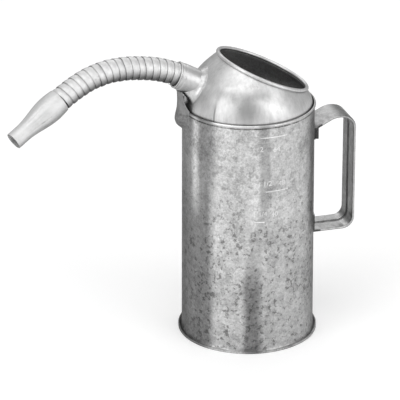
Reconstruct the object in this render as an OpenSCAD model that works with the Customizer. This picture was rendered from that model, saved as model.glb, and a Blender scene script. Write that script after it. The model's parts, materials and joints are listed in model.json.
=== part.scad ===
// Sheet-metal measuring can with a hooded mouth, a strap handle and a flexible pouring spout.
// The can stands on z = 0 with its axis on Z. The handle points to +X and the spout to -X.

/* [Can body] */
// Outside diameter of the wall at the foot
can_d = 113; // [104:1:122]
// How much smaller the wall's diameter is at the rim than at the foot
taper = 1.8; // [0:0.2:4]
// Height from the table to the top of the rolled rim
can_h = 206.5; // [190:0.5:230]
// Thickness of the sheet that the wall and the base are made of
sheet_t = 0.6; // [0.5:0.05:0.8]
// Diameter of the rolled rim
rim_d = 2.4; // [2.2:0.1:3.2]
// How far the rolled rim stands out from the wall
rim_out = 1; // [0.9:0.1:2]
// How far the flared foot stands out from the wall
foot_out = 3; // [2.4:0.1:4.5]
// Height of the flare above the table
foot_h = 7.5; // [6:0.5:10]
// Height of the hem of the base that is folded round the foot
base_hem_h = 2.2; // [1.6:0.1:3]
// Height of the underside of the base over the table
base_recess = 2.8; // [1.5:0.1:5]
// Width of the folded seam inside the wall
seam_w = 6; // [4:0.5:9]

/* [Pouring lip] */
// How far the lip bulges out of the wall at its belly
lip_out = 8.4; // [5:0.1:9]
// Half the width of the lip inside its sheet
lip_half_w = 10.5; // [9:0.1:12]
// Height of the lip's belly below the top of the rim
lip_belly_drop = 8.5; // [7:0.5:10]
// Height of the lip's lower end below the top of the rim
lip_drop = 19.5; // [17:0.5:24]
// Height of the lip's tip above the top of the rim
lip_rise = 14.5; // [10:0.5:15]

/* [Hood] */
// Clearance between the hood's shoulder and the inside of the wall
hood_gap = 1.1; // [1.1:0.1:4]
// Height of the skirt's lower edge below the top of the rim
skirt_drop = 15; // [12:0.5:20]
// Radius of the mouth at the middle of its rolled edge
mouth_r = 40.4; // [34:0.2:43]
// How far the middle of the mouth lies off the can's axis, towards the handle
mouth_x = 11.5; // [6:0.5:12]
// Height of the middle of the mouth above the rim
mouth_rise = 25.7; // [22:0.2:34]
// Tilt of the mouth, down towards the handle
mouth_tilt = 23.8; // [15:0.2:26]
// Diameter of the mouth's rolled edge
mouth_bead_d = 3.2; // [2.6:0.1:4]
// How full the hood's shoulder is, from 0, a straight cone, to 1, square
shoulder = 0.55; // [0.35:0.05:0.7]

/* [Spout root] */
// Distance of the hose's first hinge point from the wall
root_out = 10.5; // [8:0.1:16]
// Height of the hose's first hinge point above the rim
root_rise = 32.5; // [29:0.1:36]
// Angle of the collar above the horizontal
collar_pitch = 28.5; // [22:0.5:34]
// Outside diameter of the collar that the hose is soldered into
collar_d = 23.2; // [22.4:0.1:26]
// Outside diameter of the flange round the collar on the hood
flange_d = 31; // [28:0.5:35]
// Thickness of the flange
flange_t = 1.2; // [0.8:0.1:2]

/* [Hose] */
// Outside diameter of the hose over its turns
hose_d = 19.8; // [19:0.1:20.4]
// Length of hose that one turn takes up
turn_pitch = 6; // [5.6:0.1:6.6]
// Gap between the outer bands of two turns on a straight hose
turn_gap = 2; // [1.9:0.05:2.3]
// Thickness of the outer band of a turn
band_t = 0.5; // [0.4:0.05:0.6]
// Running clearance between a turn's ball and the band round it
ball_gap = 0.1; // [0.06:0.01:0.12]

/* [Nozzle] */
// Length of the nozzle from the last hinge point to its open end
nozzle_len = 48; // [42:0.2:60]
// Outside diameter of the nozzle's bulge
bulge_d = 22.4; // [21.8:0.1:26]
// Distance of the bulge from the last hinge point
bulge_at = 7.5; // [6:0.5:12]
// Outside diameter of the cylindrical tip
tip_d = 14.8; // [12:0.1:17]
// Length of the cylindrical tip
tip_len = 9; // [8:0.5:16]
// Thickness of the nozzle's sheet
nozzle_t = 0.5; // [0.4:0.05:0.8]

/* [Handle] */
// Width of the strap
strap_w = 28; // [24:0.5:36]
// Thickness of the strap at its folded edges
strap_t = 2.3; // [1.8:0.1:2.8]
// Width of the groove between the two folded edges
groove_w = 5; // [3:0.5:8]
// Distance of the grip's outer face from the wall
grip_out = 34.8; // [30:0.1:42]
// Height of the lower leg's underside over the table
handle_low = 85.2; // [70:0.2:95]
// Height above the table at which the upper leg's outer face meets the wall
handle_high = 181.9; // [165:0.2:184]
// Slope of the upper leg
leg_slope = 26.7; // [15:0.1:32]
// Heading of the strap between its two upper bends
crown_heading = -20; // [-40:1:-10]
// Outer radius of the first upper bend
crown_bend_r = 19; // [14:0.5:21]
// Outer radius of the second upper bend
corner_bend_r = 12.5; // [9:0.5:14]
// Outer radius of the lower bend
low_bend_r = 10.4; // [8:0.2:13]
// Height of the upper foot on the wall, below the upper leg
high_foot_h = 9; // [7:0.5:14]
// Height of the lower foot on the wall, above the lower leg
low_foot_h = 14; // [10:0.5:20]

/* [Hidden] */
$fn = 96;

// Bend of the resting hose at each hinge point, in degrees, and the points that bend to the side
turn_bends = [6, 5.1, 4.1, 3.3, 3, 3.6, 3.6, 4.7, 3.6, 5.7, 6, 3.6, 6, 5, 3.6, 3.2, 1.6, 3.6, 0.8];
side_points = [5, 8, 11, 14, 17];
turn_count = len(turn_bends) - 1;

// Clearance between fixed pieces that lie on each other
seat_gap = 0.05;

foot_wall_r = can_d / 2;
can_r = (can_d - taper) / 2;
bore_r = can_r - sheet_t;
hood_r = bore_r - hood_gap;
root_x = can_r + root_out;
rim_r = rim_d / 2;
rim_mid_r = can_r + rim_out - rim_r;
rim_mid_z = can_h - rim_r;
wire_r = rim_r - sheet_t * 0.85 - seat_gap;
foot_r = foot_wall_r + foot_out;
floor_z = base_recess + sheet_t;

skirt_z = can_h - skirt_drop;
shoulder_z = can_h - 2.5;
mouth_z = can_h + mouth_rise;
bead_r = mouth_bead_d / 2;
mouth_wire_r = bead_r - sheet_t - seat_gap;
hood_sides = 60;
hood_rows = 9;

collar_r = collar_d / 2;
collar_t = 0.5;
root_z = can_h + root_rise;
collar_in = 25;

band_r = hose_d / 2;
band_w = turn_pitch - turn_gap;
ball_r = band_r - band_t - ball_gap;
ball_t = 0.45;
ball_end = -0.35;
flange_back = band_w / 2 - band_t;
socket_end = turn_pitch - band_w / 2;

strap_fold_r = strap_t / 2;
foot_plate_t = strap_t / 2;

// Outer radius of the tapered wall at height z, and the cone it lies on, grown by a clearance
function wall_r(z) = foot_wall_r - (foot_wall_r - can_r) * z / can_h;
module wall_cone(grow) {
    cylinder(r1 = foot_wall_r + grow, r2 = can_r + grow, h = can_h);
}

// Triangles of a closed tube of rings: every ring has n points, and the last ring joins the first
function torus_faces(rings, n) = [
    for (i = [0 : rings - 1], j = [0 : n - 1], k = [0, 1])
        let (a = i * n + j, b = i * n + (j + 1) % n)
        let (c = ((i + 1) % rings) * n + j, d = ((i + 1) % rings) * n + (j + 1) % n)
        k == 0 ? [a, c, b] : [b, c, d]
];

// Puts a shape that is made along +Z from the first hinge point in line with the collar
module on_collar() {
    translate([-root_x, 0, root_z]) rotate([0, collar_pitch - 90, 0]) children();
}

// Turns a shape by the bend of the resting hose at hinge point i
module bend(i) {
    to_side = len(search(i, side_points)) > 0;
    rotate(to_side ? [turn_bends[i], 0, 0] : [0, -turn_bends[i], 0]) children();
}

// Puts a shape that is made along +Z from a hinge point onto the hose past hinge point i
module on_hose(i) {
    if (i == 0) {
        on_collar() bend(0) children();
    } else {
        on_hose(i - 1) translate([0, 0, turn_pitch]) bend(i) children();
    }
}

// The wall: a rolled sheet with a folded seam, a rolled rim, a flared foot and a notch for the lip
module body_wall() {
    flare = [for (a = [0 : 15 : 90])
        [wall_r(foot_h) + (foot_out - 0.9) * (1 - cos(a)), foot_h - (foot_h - 0.8) * sin(a)]];
    wall_top = rim_mid_z - rim_r + 0.3;
    wall = [[wall_r(wall_top), wall_top], [wall_r(wall_top) - sheet_t, wall_top]];
    color("silver") difference() {
        union() {
            rotate_extrude() {
                polygon(concat(wall, [for (p = flare) p - [sheet_t, 0]],
                               [for (i = [len(flare) - 1 : -1 : 0]) flare[i]]));
                translate([rim_mid_r, rim_mid_z]) difference() {
                    circle(r = rim_r);
                    circle(r = wire_r + seat_gap);
                }
            }
            seam_a = seam_w / bore_r * 180 / PI;
            seam_low = foot_h + 0.5;
            seam_top = skirt_z - 1;
            rotate([0, 0, -seam_a / 2]) rotate_extrude(angle = seam_a) polygon([
                [wall_r(seam_low) - 3 * sheet_t, seam_low], [wall_r(seam_low) - sheet_t / 2, seam_low],
                [wall_r(seam_top) - sheet_t / 2, seam_top], [wall_r(seam_top) - 3 * sheet_t, seam_top]
            ]);
        }
        lip_notch();
    }
}

// Space that the lip takes out of the wall and of the rolled rim
module lip_notch() {
    rim_cut = rim_mid_z - rim_r - 0.2;
    half = lip_half_w - 1.2;
    translate([-can_r + 10, 0, 0]) rotate([90, 0, -90]) linear_extrude(height = 20)
        polygon([[-half, rim_cut - 4], [-half + 3, can_h - lip_drop + 6], [0, can_h - lip_drop + 3],
                 [half - 3, can_h - lip_drop + 6], [half, rim_cut - 4], [half, rim_cut + 0.1],
                 [-half, rim_cut + 0.1]]);
    wide = lip_half_w + sheet_t + 0.3;
    translate([-can_r - 10, -wide, rim_cut]) cube([20, 2 * wide, rim_d + 1]);
}

// The wire that the rim is rolled round
module rim_wire() {
    color("dimgray") difference() {
        rotate_extrude() translate([rim_mid_r, rim_mid_z]) circle(r = wire_r);
        lip_notch();
    }
}

// The base: a recessed disc whose edge is hemmed round the flared foot
module base_disc() {
    wall_in = foot_wall_r - 1.4;
    color("gainsboro") rotate_extrude() polygon([
        [0, base_recess], [wall_in - sheet_t, base_recess], [wall_in - sheet_t, 0], [foot_r, 0],
        [foot_r, base_hem_h], [foot_r - sheet_t, base_hem_h], [foot_r - sheet_t, sheet_t],
        [wall_in, sheet_t], [wall_in, floor_z], [0, floor_z]
    ]);
}

// Rows of the lip: height, how far its edge and its middle stand off the wall, and half its width
function lip_rows() = let (top = can_h, belly = can_h - lip_belly_drop, low = can_h - lip_drop, w = lip_half_w)
    [[low, 0, sheet_t + 0.1, w * 0.3], [low + 3, 0, lip_out * 0.42, w * 0.58],
     [low + 6.5, 0, lip_out * 0.83, w * 0.87], [belly, 0, lip_out, w], [belly + 4.5, 0, lip_out * 0.94, w],
     [top, 0.3, lip_out * 0.83, w], [top + lip_rise * 0.3, 1.4, lip_out * 0.76, w * 0.97],
     [top + lip_rise * 0.55, 3, lip_out * 0.73, w * 0.91], [top + lip_rise * 0.8, 4.3, lip_out * 0.73, w * 0.79],
     [top + lip_rise, 4.9, lip_out * 0.77, w * 0.6]];

// One section of the lip, as points across it. grow is 0 on the inner face and sheet_t on the outer
function lip_section(row, grow, n) = [
    for (j = [0 : n])
        let (a = -90 + 180 * j / n, y = (row[3] + grow) * sin(a), off = row[2] - sheet_t + grow)
        let (r = wall_r(min(row[0], can_h)))
        [-(sqrt(r * r - y * y) + seat_gap + row[1] + max(0, off - row[1]) * cos(a)), y, row[0]]
];

// The raised lip under the spout, soldered over the notch in the rim
module pouring_lip() {
    n = 16;
    rows = lip_rows();
    loops = [for (row = rows) concat(lip_section(row, sheet_t, n),
                                     [for (k = [n : -1 : 0]) lip_section(row, 0, n)[k]])];
    m = 2 * (n + 1);
    last = len(rows) - 1;
    sides = [for (i = [0 : last - 1], j = [0 : m - 1], k = [0, 1])
        let (a = i * m + j, b = i * m + (j + 1) % m, c = a + m, d = b + m)
        k == 0 ? [a, c, b] : [b, c, d]];
    ends = [for (j = [0 : n - 1], k = [0, 1])
        let (a = j, b = j + 1, c = m - 1 - j, d = m - 2 - j, t = last * m)
        each (k == 0 ? [[a, b, c], [b, d, c]] : [[a + t, c + t, b + t], [b + t, c + t, d + t]])];
    color("darkgray") polyhedron(points = [for (l = loops) each l], faces = concat(sides, ends));
}

// A point of the hood at turn angle a and share u from the shoulder up to the mouth.
// grow moves it outwards, or inwards when it is negative.
function hood_foot(a, grow) = [(hood_r + grow) * cos(a), (hood_r + grow) * sin(a), shoulder_z];
function hood_top(a, grow) = [mouth_x, 0, mouth_z]
    + (mouth_r + grow * 0.6) * [cos(a) * cos(mouth_tilt), sin(a), -cos(a) * sin(mouth_tilt)]
    + grow * 0.8 * [sin(mouth_tilt), 0, cos(mouth_tilt)];
function hood_point(a, u, grow) = let (p = hood_foot(a, grow), q = hood_top(a, grow))
    let (m = [p[0], p[1], p[2] + shoulder * (q[2] - p[2])])
    (1 - u) * (1 - u) * p + 2 * u * (1 - u) * m + u * u * q;

// Rings of the hood from its lower edge to its mouth
function skirt_ring(z, r, n) = [for (j = [0 : n - 1]) let (a = 360 * j / n) [r * cos(a), r * sin(a), z]];
function hood_rings(grow, rows, n) = concat(
    [skirt_ring(skirt_z, bore_r - 0.2 + grow, n), skirt_ring(skirt_z + 4, bore_r - 0.3 + grow, n),
     skirt_ring(skirt_z + 7, hood_r + 0.3 + grow, n)],
    [for (i = [0 : rows]) [for (j = [0 : n - 1]) hood_point(360 * j / n, i / rows, grow)]]
);

// The hood as a closed solid up to its mouth, to cut or shape what meets it
module hood_solid(grow) {
    n = hood_sides;
    rows = hood_rows;
    rings = hood_rings(grow, rows, n);
    last = len(rings) - 1;
    top = last * n;
    sides = [for (i = [0 : last - 1], j = [0 : n - 1], k = [0, 1])
        let (a = i * n + j, b = i * n + (j + 1) % n)
        k == 0 ? [a, a + n, b] : [b, a + n, b + n]];
    polyhedron(points = [for (r = rings) each r],
               faces = concat(sides, [[for (j = [0 : n - 1]) j]], [[for (j = [n - 1 : -1 : 0]) top + j]]));
}

// The hood: a skirt inside the rim and an oblique dome up to the tilted mouth, open for the collar
module hood_shell() {
    n = hood_sides;
    outer = hood_rings(0, hood_rows, n);
    inner = hood_rings(-sheet_t, hood_rows, n);
    rings = concat(outer, [for (i = [len(inner) - 1 : -1 : 0]) inner[i]]);
    color("gainsboro") difference() {
        polyhedron(points = [for (r = rings) each r], faces = torus_faces(len(rings), n));
        on_collar() translate([0, 0, -collar_in - 15])
            cylinder(r = collar_r + seat_gap, h = collar_in + 15);
    }
}

// The mouth's edge, rolled round a wire
module at_mouth() {
    translate([mouth_x, 0, mouth_z]) rotate([0, mouth_tilt, 0]) translate([0, 0, bead_r + seat_gap]) children();
}

module mouth_bead() {
    color("whitesmoke") at_mouth() rotate_extrude() translate([mouth_r - 0.2, 0]) difference() {
        circle(r = bead_r);
        circle(r = mouth_wire_r + seat_gap);
    }
}

module mouth_wire() {
    color("dimgray") at_mouth() rotate_extrude() translate([mouth_r - 0.2, 0]) circle(r = mouth_wire_r);
}

// The flange round the collar, shaped to the hood
module spout_flange() {
    color("whitesmoke") intersection() {
        on_collar() translate([0, 0, -collar_in - 5]) difference() {
            cylinder(r = flange_d / 2, h = collar_in);
            translate([0, 0, -1]) cylinder(r = collar_r + seat_gap, h = collar_in + 2);
        }
        difference() {
            hood_solid(seat_gap + flange_t);
            hood_solid(seat_gap);
        }
    }
}

// The collar: a plain tube that goes through the hood, with a small bead at its outer end
module spout_collar() {
    end = -socket_end + 0.2;
    color("gainsboro") on_collar() rotate_extrude() {
        translate([collar_r - collar_t, -collar_in]) square([collar_t, collar_in + end]);
        translate([collar_r - collar_t, end - 1.2]) square([collar_t + 0.3, 1.2]);
    }
}

// The outer half plane of a turn's profile between two heights
module band_slab(from, to) {
    translate([0, from]) square([band_r + 5, to - from]);
}

// The ball that a turn shows to the next one: a zone of a hollow sphere round the next hinge point
module ball_profile(from) {
    intersection() {
        difference() {
            circle(r = ball_r);
            circle(r = ball_r - ball_t);
        }
        band_slab(from, ball_end);
    }
}

// The band of a turn: a zone of a hollow sphere round its own hinge point
module band_profile(to) {
    intersection() {
        difference() {
            circle(r = band_r);
            circle(r = band_r - band_t);
        }
        band_slab(-band_w / 2, to);
    }
}

// One turn of the interlocked hose: an outer band, a step inwards, and the ball for the next turn
module turn() {
    step_in = sqrt(pow(ball_r - ball_t, 2) - pow(socket_end, 2));
    step_out = sqrt(pow(band_r, 2) - pow(band_w / 2, 2)) - 0.02;
    rotate_extrude() {
        band_profile(band_w / 2);
        translate([step_in, flange_back]) square([step_out - step_in, band_t]);
        translate([0, turn_pitch]) ball_profile(-socket_end - 0.1);
    }
}

module hose_turn(i) {
    color("lightgray") on_hose(i - 1) turn();
}

// The first end of the hose, soldered into the collar, with the ball for the first turn
module hose_socket() {
    sleeve_r = collar_r - collar_t - seat_gap;
    step_in = sqrt(pow(ball_r - ball_t, 2) - pow(socket_end, 2));
    color("lightgray") on_collar() rotate_extrude() {
        translate([sleeve_r - band_t, -socket_end - 8]) square([band_t, 8]);
        translate([step_in, -socket_end - band_t]) square([sleeve_r - step_in, band_t]);
        ball_profile(-socket_end - 0.1);
    }
}

// The last end of the hose, soldered into the nozzle, with a band round the last turn's ball
module nozzle_sleeve() {
    color("lightgray") on_hose(turn_count) rotate_extrude() {
        band_profile(band_w / 2);
        tube_r = sqrt(pow(band_r, 2) - pow(band_w / 2, 2)) - 0.02;
        translate([tube_r - band_t, band_w / 2 - 0.2]) square([band_t, 6]);
    }
}

// Outer radius of the nozzle at distance s from the last hinge point
function nozzle_r(s) = let (root_r = band_r + seat_gap + nozzle_t, big = bulge_d / 2, tip = tip_d / 2)
    let (tip_at = nozzle_len - tip_len)
    s < bulge_at ? root_r + (big - root_r) * sin(90 * max(0, s + band_w / 2) / (bulge_at + band_w / 2))
    : s < tip_at ? tip + (big - tip) * (1 + cos(180 * (s - bulge_at) / (tip_at - bulge_at))) / 2
    : tip;

// The nozzle: a sheet cone that swells, tapers and ends in a plain tip
module nozzle_cone() {
    from = -band_w / 2;
    tip_at = nozzle_len - tip_len;
    stations = concat([for (k = [0 : 5]) from + (bulge_at - from) * k / 6],
                      [for (k = [0 : 10]) bulge_at + (tip_at - bulge_at) * k / 10], [nozzle_len]);
    outer = [for (s = stations) [nozzle_r(s), s]];
    color("lightgray") on_hose(turn_count) rotate_extrude()
        polygon(concat(outer, [for (k = [len(outer) - 1 : -1 : 0]) outer[k] - [nozzle_t, 0]]));
}

// The strap's section: two folded edges with a groove between them on the inner side.
// X is the thickness, with the outer face at 0 and the inner face at -strap_t, and Y the width.
// A bend is a hair thicker than the runs next to it, so that every joint of two stretches is sound.
module strap_section(grow = 0) {
    difference() {
        union() {
            translate([-strap_t - grow, -strap_w / 2 + strap_fold_r])
                square([strap_t + 2 * grow, strap_w - strap_t]);
            for (side = [-1, 1])
                translate([-strap_fold_r, side * (strap_w / 2 - strap_fold_r)])
                    circle(r = strap_fold_r + grow);
        }
        translate([-strap_t - 1, -groove_w / 2 + grow]) square([1 + strap_t / 2 - grow, groove_w - 2 * grow]);
    }
}

// A straight stretch of strap from a point of its outer face in XZ, along a heading
module strap_run(point, angle, length) {
    translate([point[0], 0, point[1]]) rotate([0, -angle, 0]) rotate([90, 0, 90])
        linear_extrude(height = length) rotate([0, 0, 90]) strap_section();
}

// A bend of strap about a centre in XZ, clockwise from one heading to a lower one
module strap_bend(centre, radius, from, to, grow) {
    over = 0.6;
    translate([centre[0], 0, centre[1]]) rotate([90, 0, 0]) rotate([0, 0, to + 90 - over])
        rotate_extrude(angle = from - to + 2 * over) translate([radius, 0]) strap_section(grow);
}

// The handle: one folded strap with a foot bent against the wall at each end
module handle_strap() {
    grip_x = foot_wall_r + grip_out;
    wall_x = wall_r(handle_high);
    // Ends of the bends, worked out along the outer face from the grip back to the wall
    run_corner = corner_bend_r * (1 + sin(crown_heading));
    run_crown = crown_bend_r * (sin(leg_slope) - sin(crown_heading));
    rise_crown = crown_bend_r * (cos(crown_heading) - cos(leg_slope));
    leg_x = grip_x - run_corner - run_crown;
    leg_end = [leg_x, handle_high + (leg_x - wall_x) * tan(leg_slope)];
    crown_c = leg_end + crown_bend_r * [sin(leg_slope), -cos(leg_slope)];
    crown_end = leg_end + [run_crown, rise_crown];
    corner_c = crown_end + corner_bend_r * [sin(crown_heading), -cos(crown_heading)];
    low_c = [grip_x - low_bend_r, handle_low + low_bend_r];
    leg_len = (leg_x - wall_x + 12) / cos(leg_slope);
    leg_start = leg_end - leg_len * [cos(leg_slope), sin(leg_slope)];
    color("darkgray") difference() {
        union() {
            strap_run(leg_start, leg_slope, leg_len);
            strap_bend(crown_c, crown_bend_r, leg_slope, crown_heading, 0.02);
            strap_bend(corner_c, corner_bend_r, crown_heading, -90, 0.04);
            strap_run([grip_x, corner_c[1]], -90, corner_c[1] - low_c[1]);
            strap_bend(low_c, low_bend_r, -90, -180, 0.02);
            strap_run([low_c[0], handle_low], 180, low_c[0] - wall_r(handle_low) + 6);
            handle_foot(handle_high - high_foot_h - strap_t, high_foot_h + strap_t - 0.6);
            handle_foot(handle_low + 0.4, low_foot_h + strap_t - 0.4);
        }
        wall_cone(seat_gap);
    }
}

// A foot: a plate bent to the wall's curve
module handle_foot(low, height) {
    half_a = asin((strap_w / 2 - 0.4) / (can_r + foot_plate_t));
    high = low + height;
    rotate([0, 0, -half_a]) rotate_extrude(angle = 2 * half_a) polygon([
        [wall_r(low) - 0.5, low], [wall_r(low) + foot_plate_t, low],
        [wall_r(high) + foot_plate_t, high], [wall_r(high) - 0.5, high]
    ]);
}

body_wall();
rim_wire();
base_disc();
pouring_lip();
hood_shell();
mouth_bead();
mouth_wire();
spout_flange();
spout_collar();
hose_socket();
handle_strap();
nozzle_sleeve();
nozzle_cone();
hose_turn(1);  // hose_turn_01
hose_turn(2);  // hose_turn_02
hose_turn(3);  // hose_turn_03
hose_turn(4);  // hose_turn_04
hose_turn(5);  // hose_turn_05
hose_turn(6);  // hose_turn_06
hose_turn(7);  // hose_turn_07
hose_turn(8);  // hose_turn_08
hose_turn(9);  // hose_turn_09
hose_turn(10);  // hose_turn_10
hose_turn(11);  // hose_turn_11
hose_turn(12);  // hose_turn_12
hose_turn(13);  // hose_turn_13
hose_turn(14);  // hose_turn_14
hose_turn(15);  // hose_turn_15
hose_turn(16);  // hose_turn_16
hose_turn(17);  // hose_turn_17
hose_turn(18);  // hose_turn_18
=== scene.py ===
"""Looks of a sheet-metal measuring can with a hooded mouth, a strap handle and a flexible spout.

The can stands on z = 0 with its axis on Z. The handle points to +X and the spout to -X. Sizes are metres and
turn angles degrees, unless a comment says otherwise.
"""

import json
import logging
import math
from contextlib import contextmanager
from dataclasses import dataclass, field
from enum import Enum
from typing import Callable, Iterator, Optional, Sequence

import bmesh
import bpy
from mathutils import Matrix, Vector
from mathutils.bvhtree import BVHTree

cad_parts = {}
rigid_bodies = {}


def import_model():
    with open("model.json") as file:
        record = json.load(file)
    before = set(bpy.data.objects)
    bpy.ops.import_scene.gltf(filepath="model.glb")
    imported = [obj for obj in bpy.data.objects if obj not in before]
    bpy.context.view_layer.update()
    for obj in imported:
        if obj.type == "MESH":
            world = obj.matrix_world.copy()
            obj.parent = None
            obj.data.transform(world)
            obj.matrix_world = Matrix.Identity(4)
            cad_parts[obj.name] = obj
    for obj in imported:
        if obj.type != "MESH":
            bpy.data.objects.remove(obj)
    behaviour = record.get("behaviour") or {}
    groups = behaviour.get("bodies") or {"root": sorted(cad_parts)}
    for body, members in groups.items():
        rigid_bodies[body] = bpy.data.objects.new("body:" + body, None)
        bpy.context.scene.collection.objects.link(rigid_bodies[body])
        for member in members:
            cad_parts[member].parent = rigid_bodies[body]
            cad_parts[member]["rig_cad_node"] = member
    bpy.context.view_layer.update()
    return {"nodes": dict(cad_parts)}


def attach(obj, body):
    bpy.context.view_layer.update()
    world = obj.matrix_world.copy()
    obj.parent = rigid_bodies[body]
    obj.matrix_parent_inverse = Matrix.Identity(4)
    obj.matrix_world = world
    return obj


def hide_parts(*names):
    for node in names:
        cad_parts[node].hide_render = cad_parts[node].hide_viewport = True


MM = 0.001
ROUND = 2 * math.pi
LOG = logging.getLogger("measuring_can")

Piece = bpy.types.Object
Socket = bpy.types.NodeSocket
Place = Callable[[Vector], Vector]


def polar(radius: float, turn: float, z: float) -> Vector:
    """The point at a radius, a turn angle about Z and a height."""
    return Vector((radius * math.cos(turn), radius * math.sin(turn), z))


def turn_of(p: Vector) -> float:
    """The turn angle of a point about Z."""
    return math.atan2(p.y, p.x)


def on_axis(p: Vector) -> Vector:
    """The point of the Z axis beside a point."""
    return Vector((0, 0, p.z))


def held(share: float) -> float:
    """A share held between 0 and 1."""
    return min(1.0, max(0.0, share))


# Workbench


class Bench:
    """The modelling operators, each used with only its own piece selected."""

    merge_under = 2e-6

    @staticmethod
    def clear() -> None:
        """Leaves edit mode and drops every selection."""
        if bpy.context.object is not None and bpy.context.object.mode != "OBJECT":
            bpy.ops.object.mode_set(mode="OBJECT")
        bpy.ops.object.select_all(action="DESELECT")

    @staticmethod
    def take(piece: Piece) -> None:
        """Makes a piece the only selected one.

        Args:
            piece: the object.
        """
        Bench.clear()
        piece.select_set(True)
        bpy.context.view_layer.objects.active = piece

    @staticmethod
    def named(piece: Piece, name: str) -> Piece:
        """Gives an object and its mesh the same name."""
        piece.name = piece.data.name = name
        return piece

    @staticmethod
    def start(name: str, primitive: Callable[..., set], **settings: object) -> Piece:
        """Adds a primitive as the start of a piece, with its place in its mesh.

        Args:
            name: what the piece is called.
            primitive: the operator that adds it.
            settings: its size and place.

        Returns:
            The new object.
        """
        Bench.clear()
        primitive(**settings)
        piece = Bench.named(bpy.context.object, name)
        if "location" in settings:
            Bench.settle(piece)
        return piece

    @staticmethod
    @contextmanager
    def editing(piece: Piece, kind: str = "VERT", whole: bool = True) -> Iterator[None]:
        """Opens a piece in edit mode.

        Args:
            piece: the mesh object.
            kind: VERT, EDGE or FACE.
            whole: with everything selected, or else with nothing.

        Yields:
            Nothing, while the piece is open.
        """
        Bench.take(piece)
        bpy.ops.object.mode_set(mode="EDIT")
        bpy.ops.mesh.select_mode(type=kind)
        bpy.ops.mesh.select_all(action="SELECT" if whole else "DESELECT")
        yield
        bpy.ops.object.mode_set(mode="OBJECT")

    @staticmethod
    def pick(piece: Piece, rule: Callable[[Vector], bool]) -> None:
        """Selects the points of an edited piece by their place.

        Args:
            piece: the edited piece.
            rule: says of a place whether it is wanted.
        """
        mesh = bmesh.from_edit_mesh(piece.data)
        for point in mesh.verts:
            point.select = rule(point.co)
        mesh.select_flush(True)
        mesh.select_flush(False)
        bmesh.update_edit_mesh(piece.data)

    @staticmethod
    def put(piece: Piece, rule: Place) -> None:
        """Moves the selected points of an edited piece.

        Args:
            piece: the edited piece.
            rule: gives each point's new place.
        """
        mesh = bmesh.from_edit_mesh(piece.data)
        for point in mesh.verts:
            if point.select:
                point.co = rule(point.co)
        bmesh.update_edit_mesh(piece.data)

    @staticmethod
    def raise_ring(piece: Piece, rule: Place) -> None:
        """Extrudes the selected edges and puts the new points where a rule says."""
        bpy.ops.mesh.extrude_edges_move()
        Bench.put(piece, rule)

    @staticmethod
    def modifier(piece: Piece, kind: str, **settings: object) -> None:
        """Adds a modifier and applies it.

        Args:
            piece: the mesh object.
            kind: the modifier's type.
            settings: its settings.
        """
        Bench.take(piece)
        modifier = piece.modifiers.new(kind.lower(), kind)
        for key, value in settings.items():
            setattr(modifier, key, value)
        bpy.ops.object.modifier_apply(modifier=modifier.name)

    @staticmethod
    def thicken(piece: Piece, sheet: float, inside: int = 0, offset: float = -1.0) -> None:
        """Gives an open sheet its thickness.

        Args:
            piece: the open sheet.
            sheet: how thick it becomes.
            inside: which of its materials the inner face has.
            offset: -1 to grow inwards, 1 to grow outwards.
        """
        Bench.modifier(piece, "SOLIDIFY", thickness=sheet, offset=offset, material_offset=inside,
                       material_offset_rim=0)

    @staticmethod
    def outward(piece: Piece) -> None:
        """Closes seams and turns every face outwards.

        Args:
            piece: the mesh object.
        """
        with Bench.editing(piece):
            bpy.ops.mesh.remove_doubles(threshold=Bench.merge_under)
            bpy.ops.mesh.normals_make_consistent(inside=False)

    @staticmethod
    def face_away(piece: Piece, centre: Place = on_axis) -> None:
        """Turns an open sheet so that its faces look away from a centre.

        Args:
            piece: the open sheet.
            centre: gives the point that a place on the sheet looks away from.
        """
        Bench.outward(piece)
        away = sum(1 if face.normal.dot(face.center - centre(face.center)) > 0 else -1
                   for face in piece.data.polygons)
        if away < 0:
            with Bench.editing(piece):
                bpy.ops.mesh.flip_normals()

    @staticmethod
    def smooth(piece: Piece, crisp: float = 40.0) -> None:
        """Shades a piece smooth, except over edges that turn by more than the crisp angle."""
        Bench.take(piece)
        bpy.ops.object.shade_smooth_by_angle(angle=math.radians(crisp))

    @staticmethod
    def settle(piece: Piece) -> None:
        """Puts the piece's place into its mesh."""
        Bench.take(piece)
        bpy.ops.object.transform_apply(location=True, rotation=True, scale=True)

    @staticmethod
    def meshed(piece: Piece, name: str) -> Piece:
        """Makes a text or a curve a mesh.

        Args:
            piece: the text or the curve.
            name: what the mesh is called.

        Returns:
            The mesh object.
        """
        Bench.take(piece)
        bpy.ops.object.convert(target="MESH")
        return Bench.named(bpy.context.object, name)

    @staticmethod
    def join(pieces: Sequence[Piece]) -> Piece:
        """Joins pieces into one.

        Args:
            pieces: the pieces, the one that stays first.

        Returns:
            The joined piece.
        """
        Bench.take(pieces[0])
        for piece in pieces[1:]:
            piece.select_set(True)
        bpy.ops.object.join()
        return pieces[0]

    @staticmethod
    def grooved(piece: Piece, depth: Callable[[Vector], float]) -> None:
        """Stores how deep each point lies in a groove, for the finish to read.

        Args:
            piece: the mesh object.
            depth: gives a place's depth, from 0 to 1.
        """
        layer = piece.data.attributes.new("groove", "FLOAT", "POINT")
        for point, value in zip(piece.data.vertices, layer.data):
            value.value = depth(point.co)


# Sizes shared by the pieces


@dataclass(frozen=True)
class CanSizes:
    """Main sizes of the can, in metres."""

    foot_r: float = 56.5 * MM
    rim_wall_r: float = 55.6 * MM
    height: float = 206.5 * MM
    sheet: float = 0.6 * MM
    seat: float = 0.05 * MM

    @property
    def slope(self) -> float:
        """How much the wall's radius shrinks for each metre of height."""
        return (self.foot_r - self.rim_wall_r) / self.height

    def wall_r(self, z: float) -> float:
        """Outer radius of the tapered wall at height z."""
        return self.foot_r - self.slope * z


CAN = CanSizes()


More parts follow.
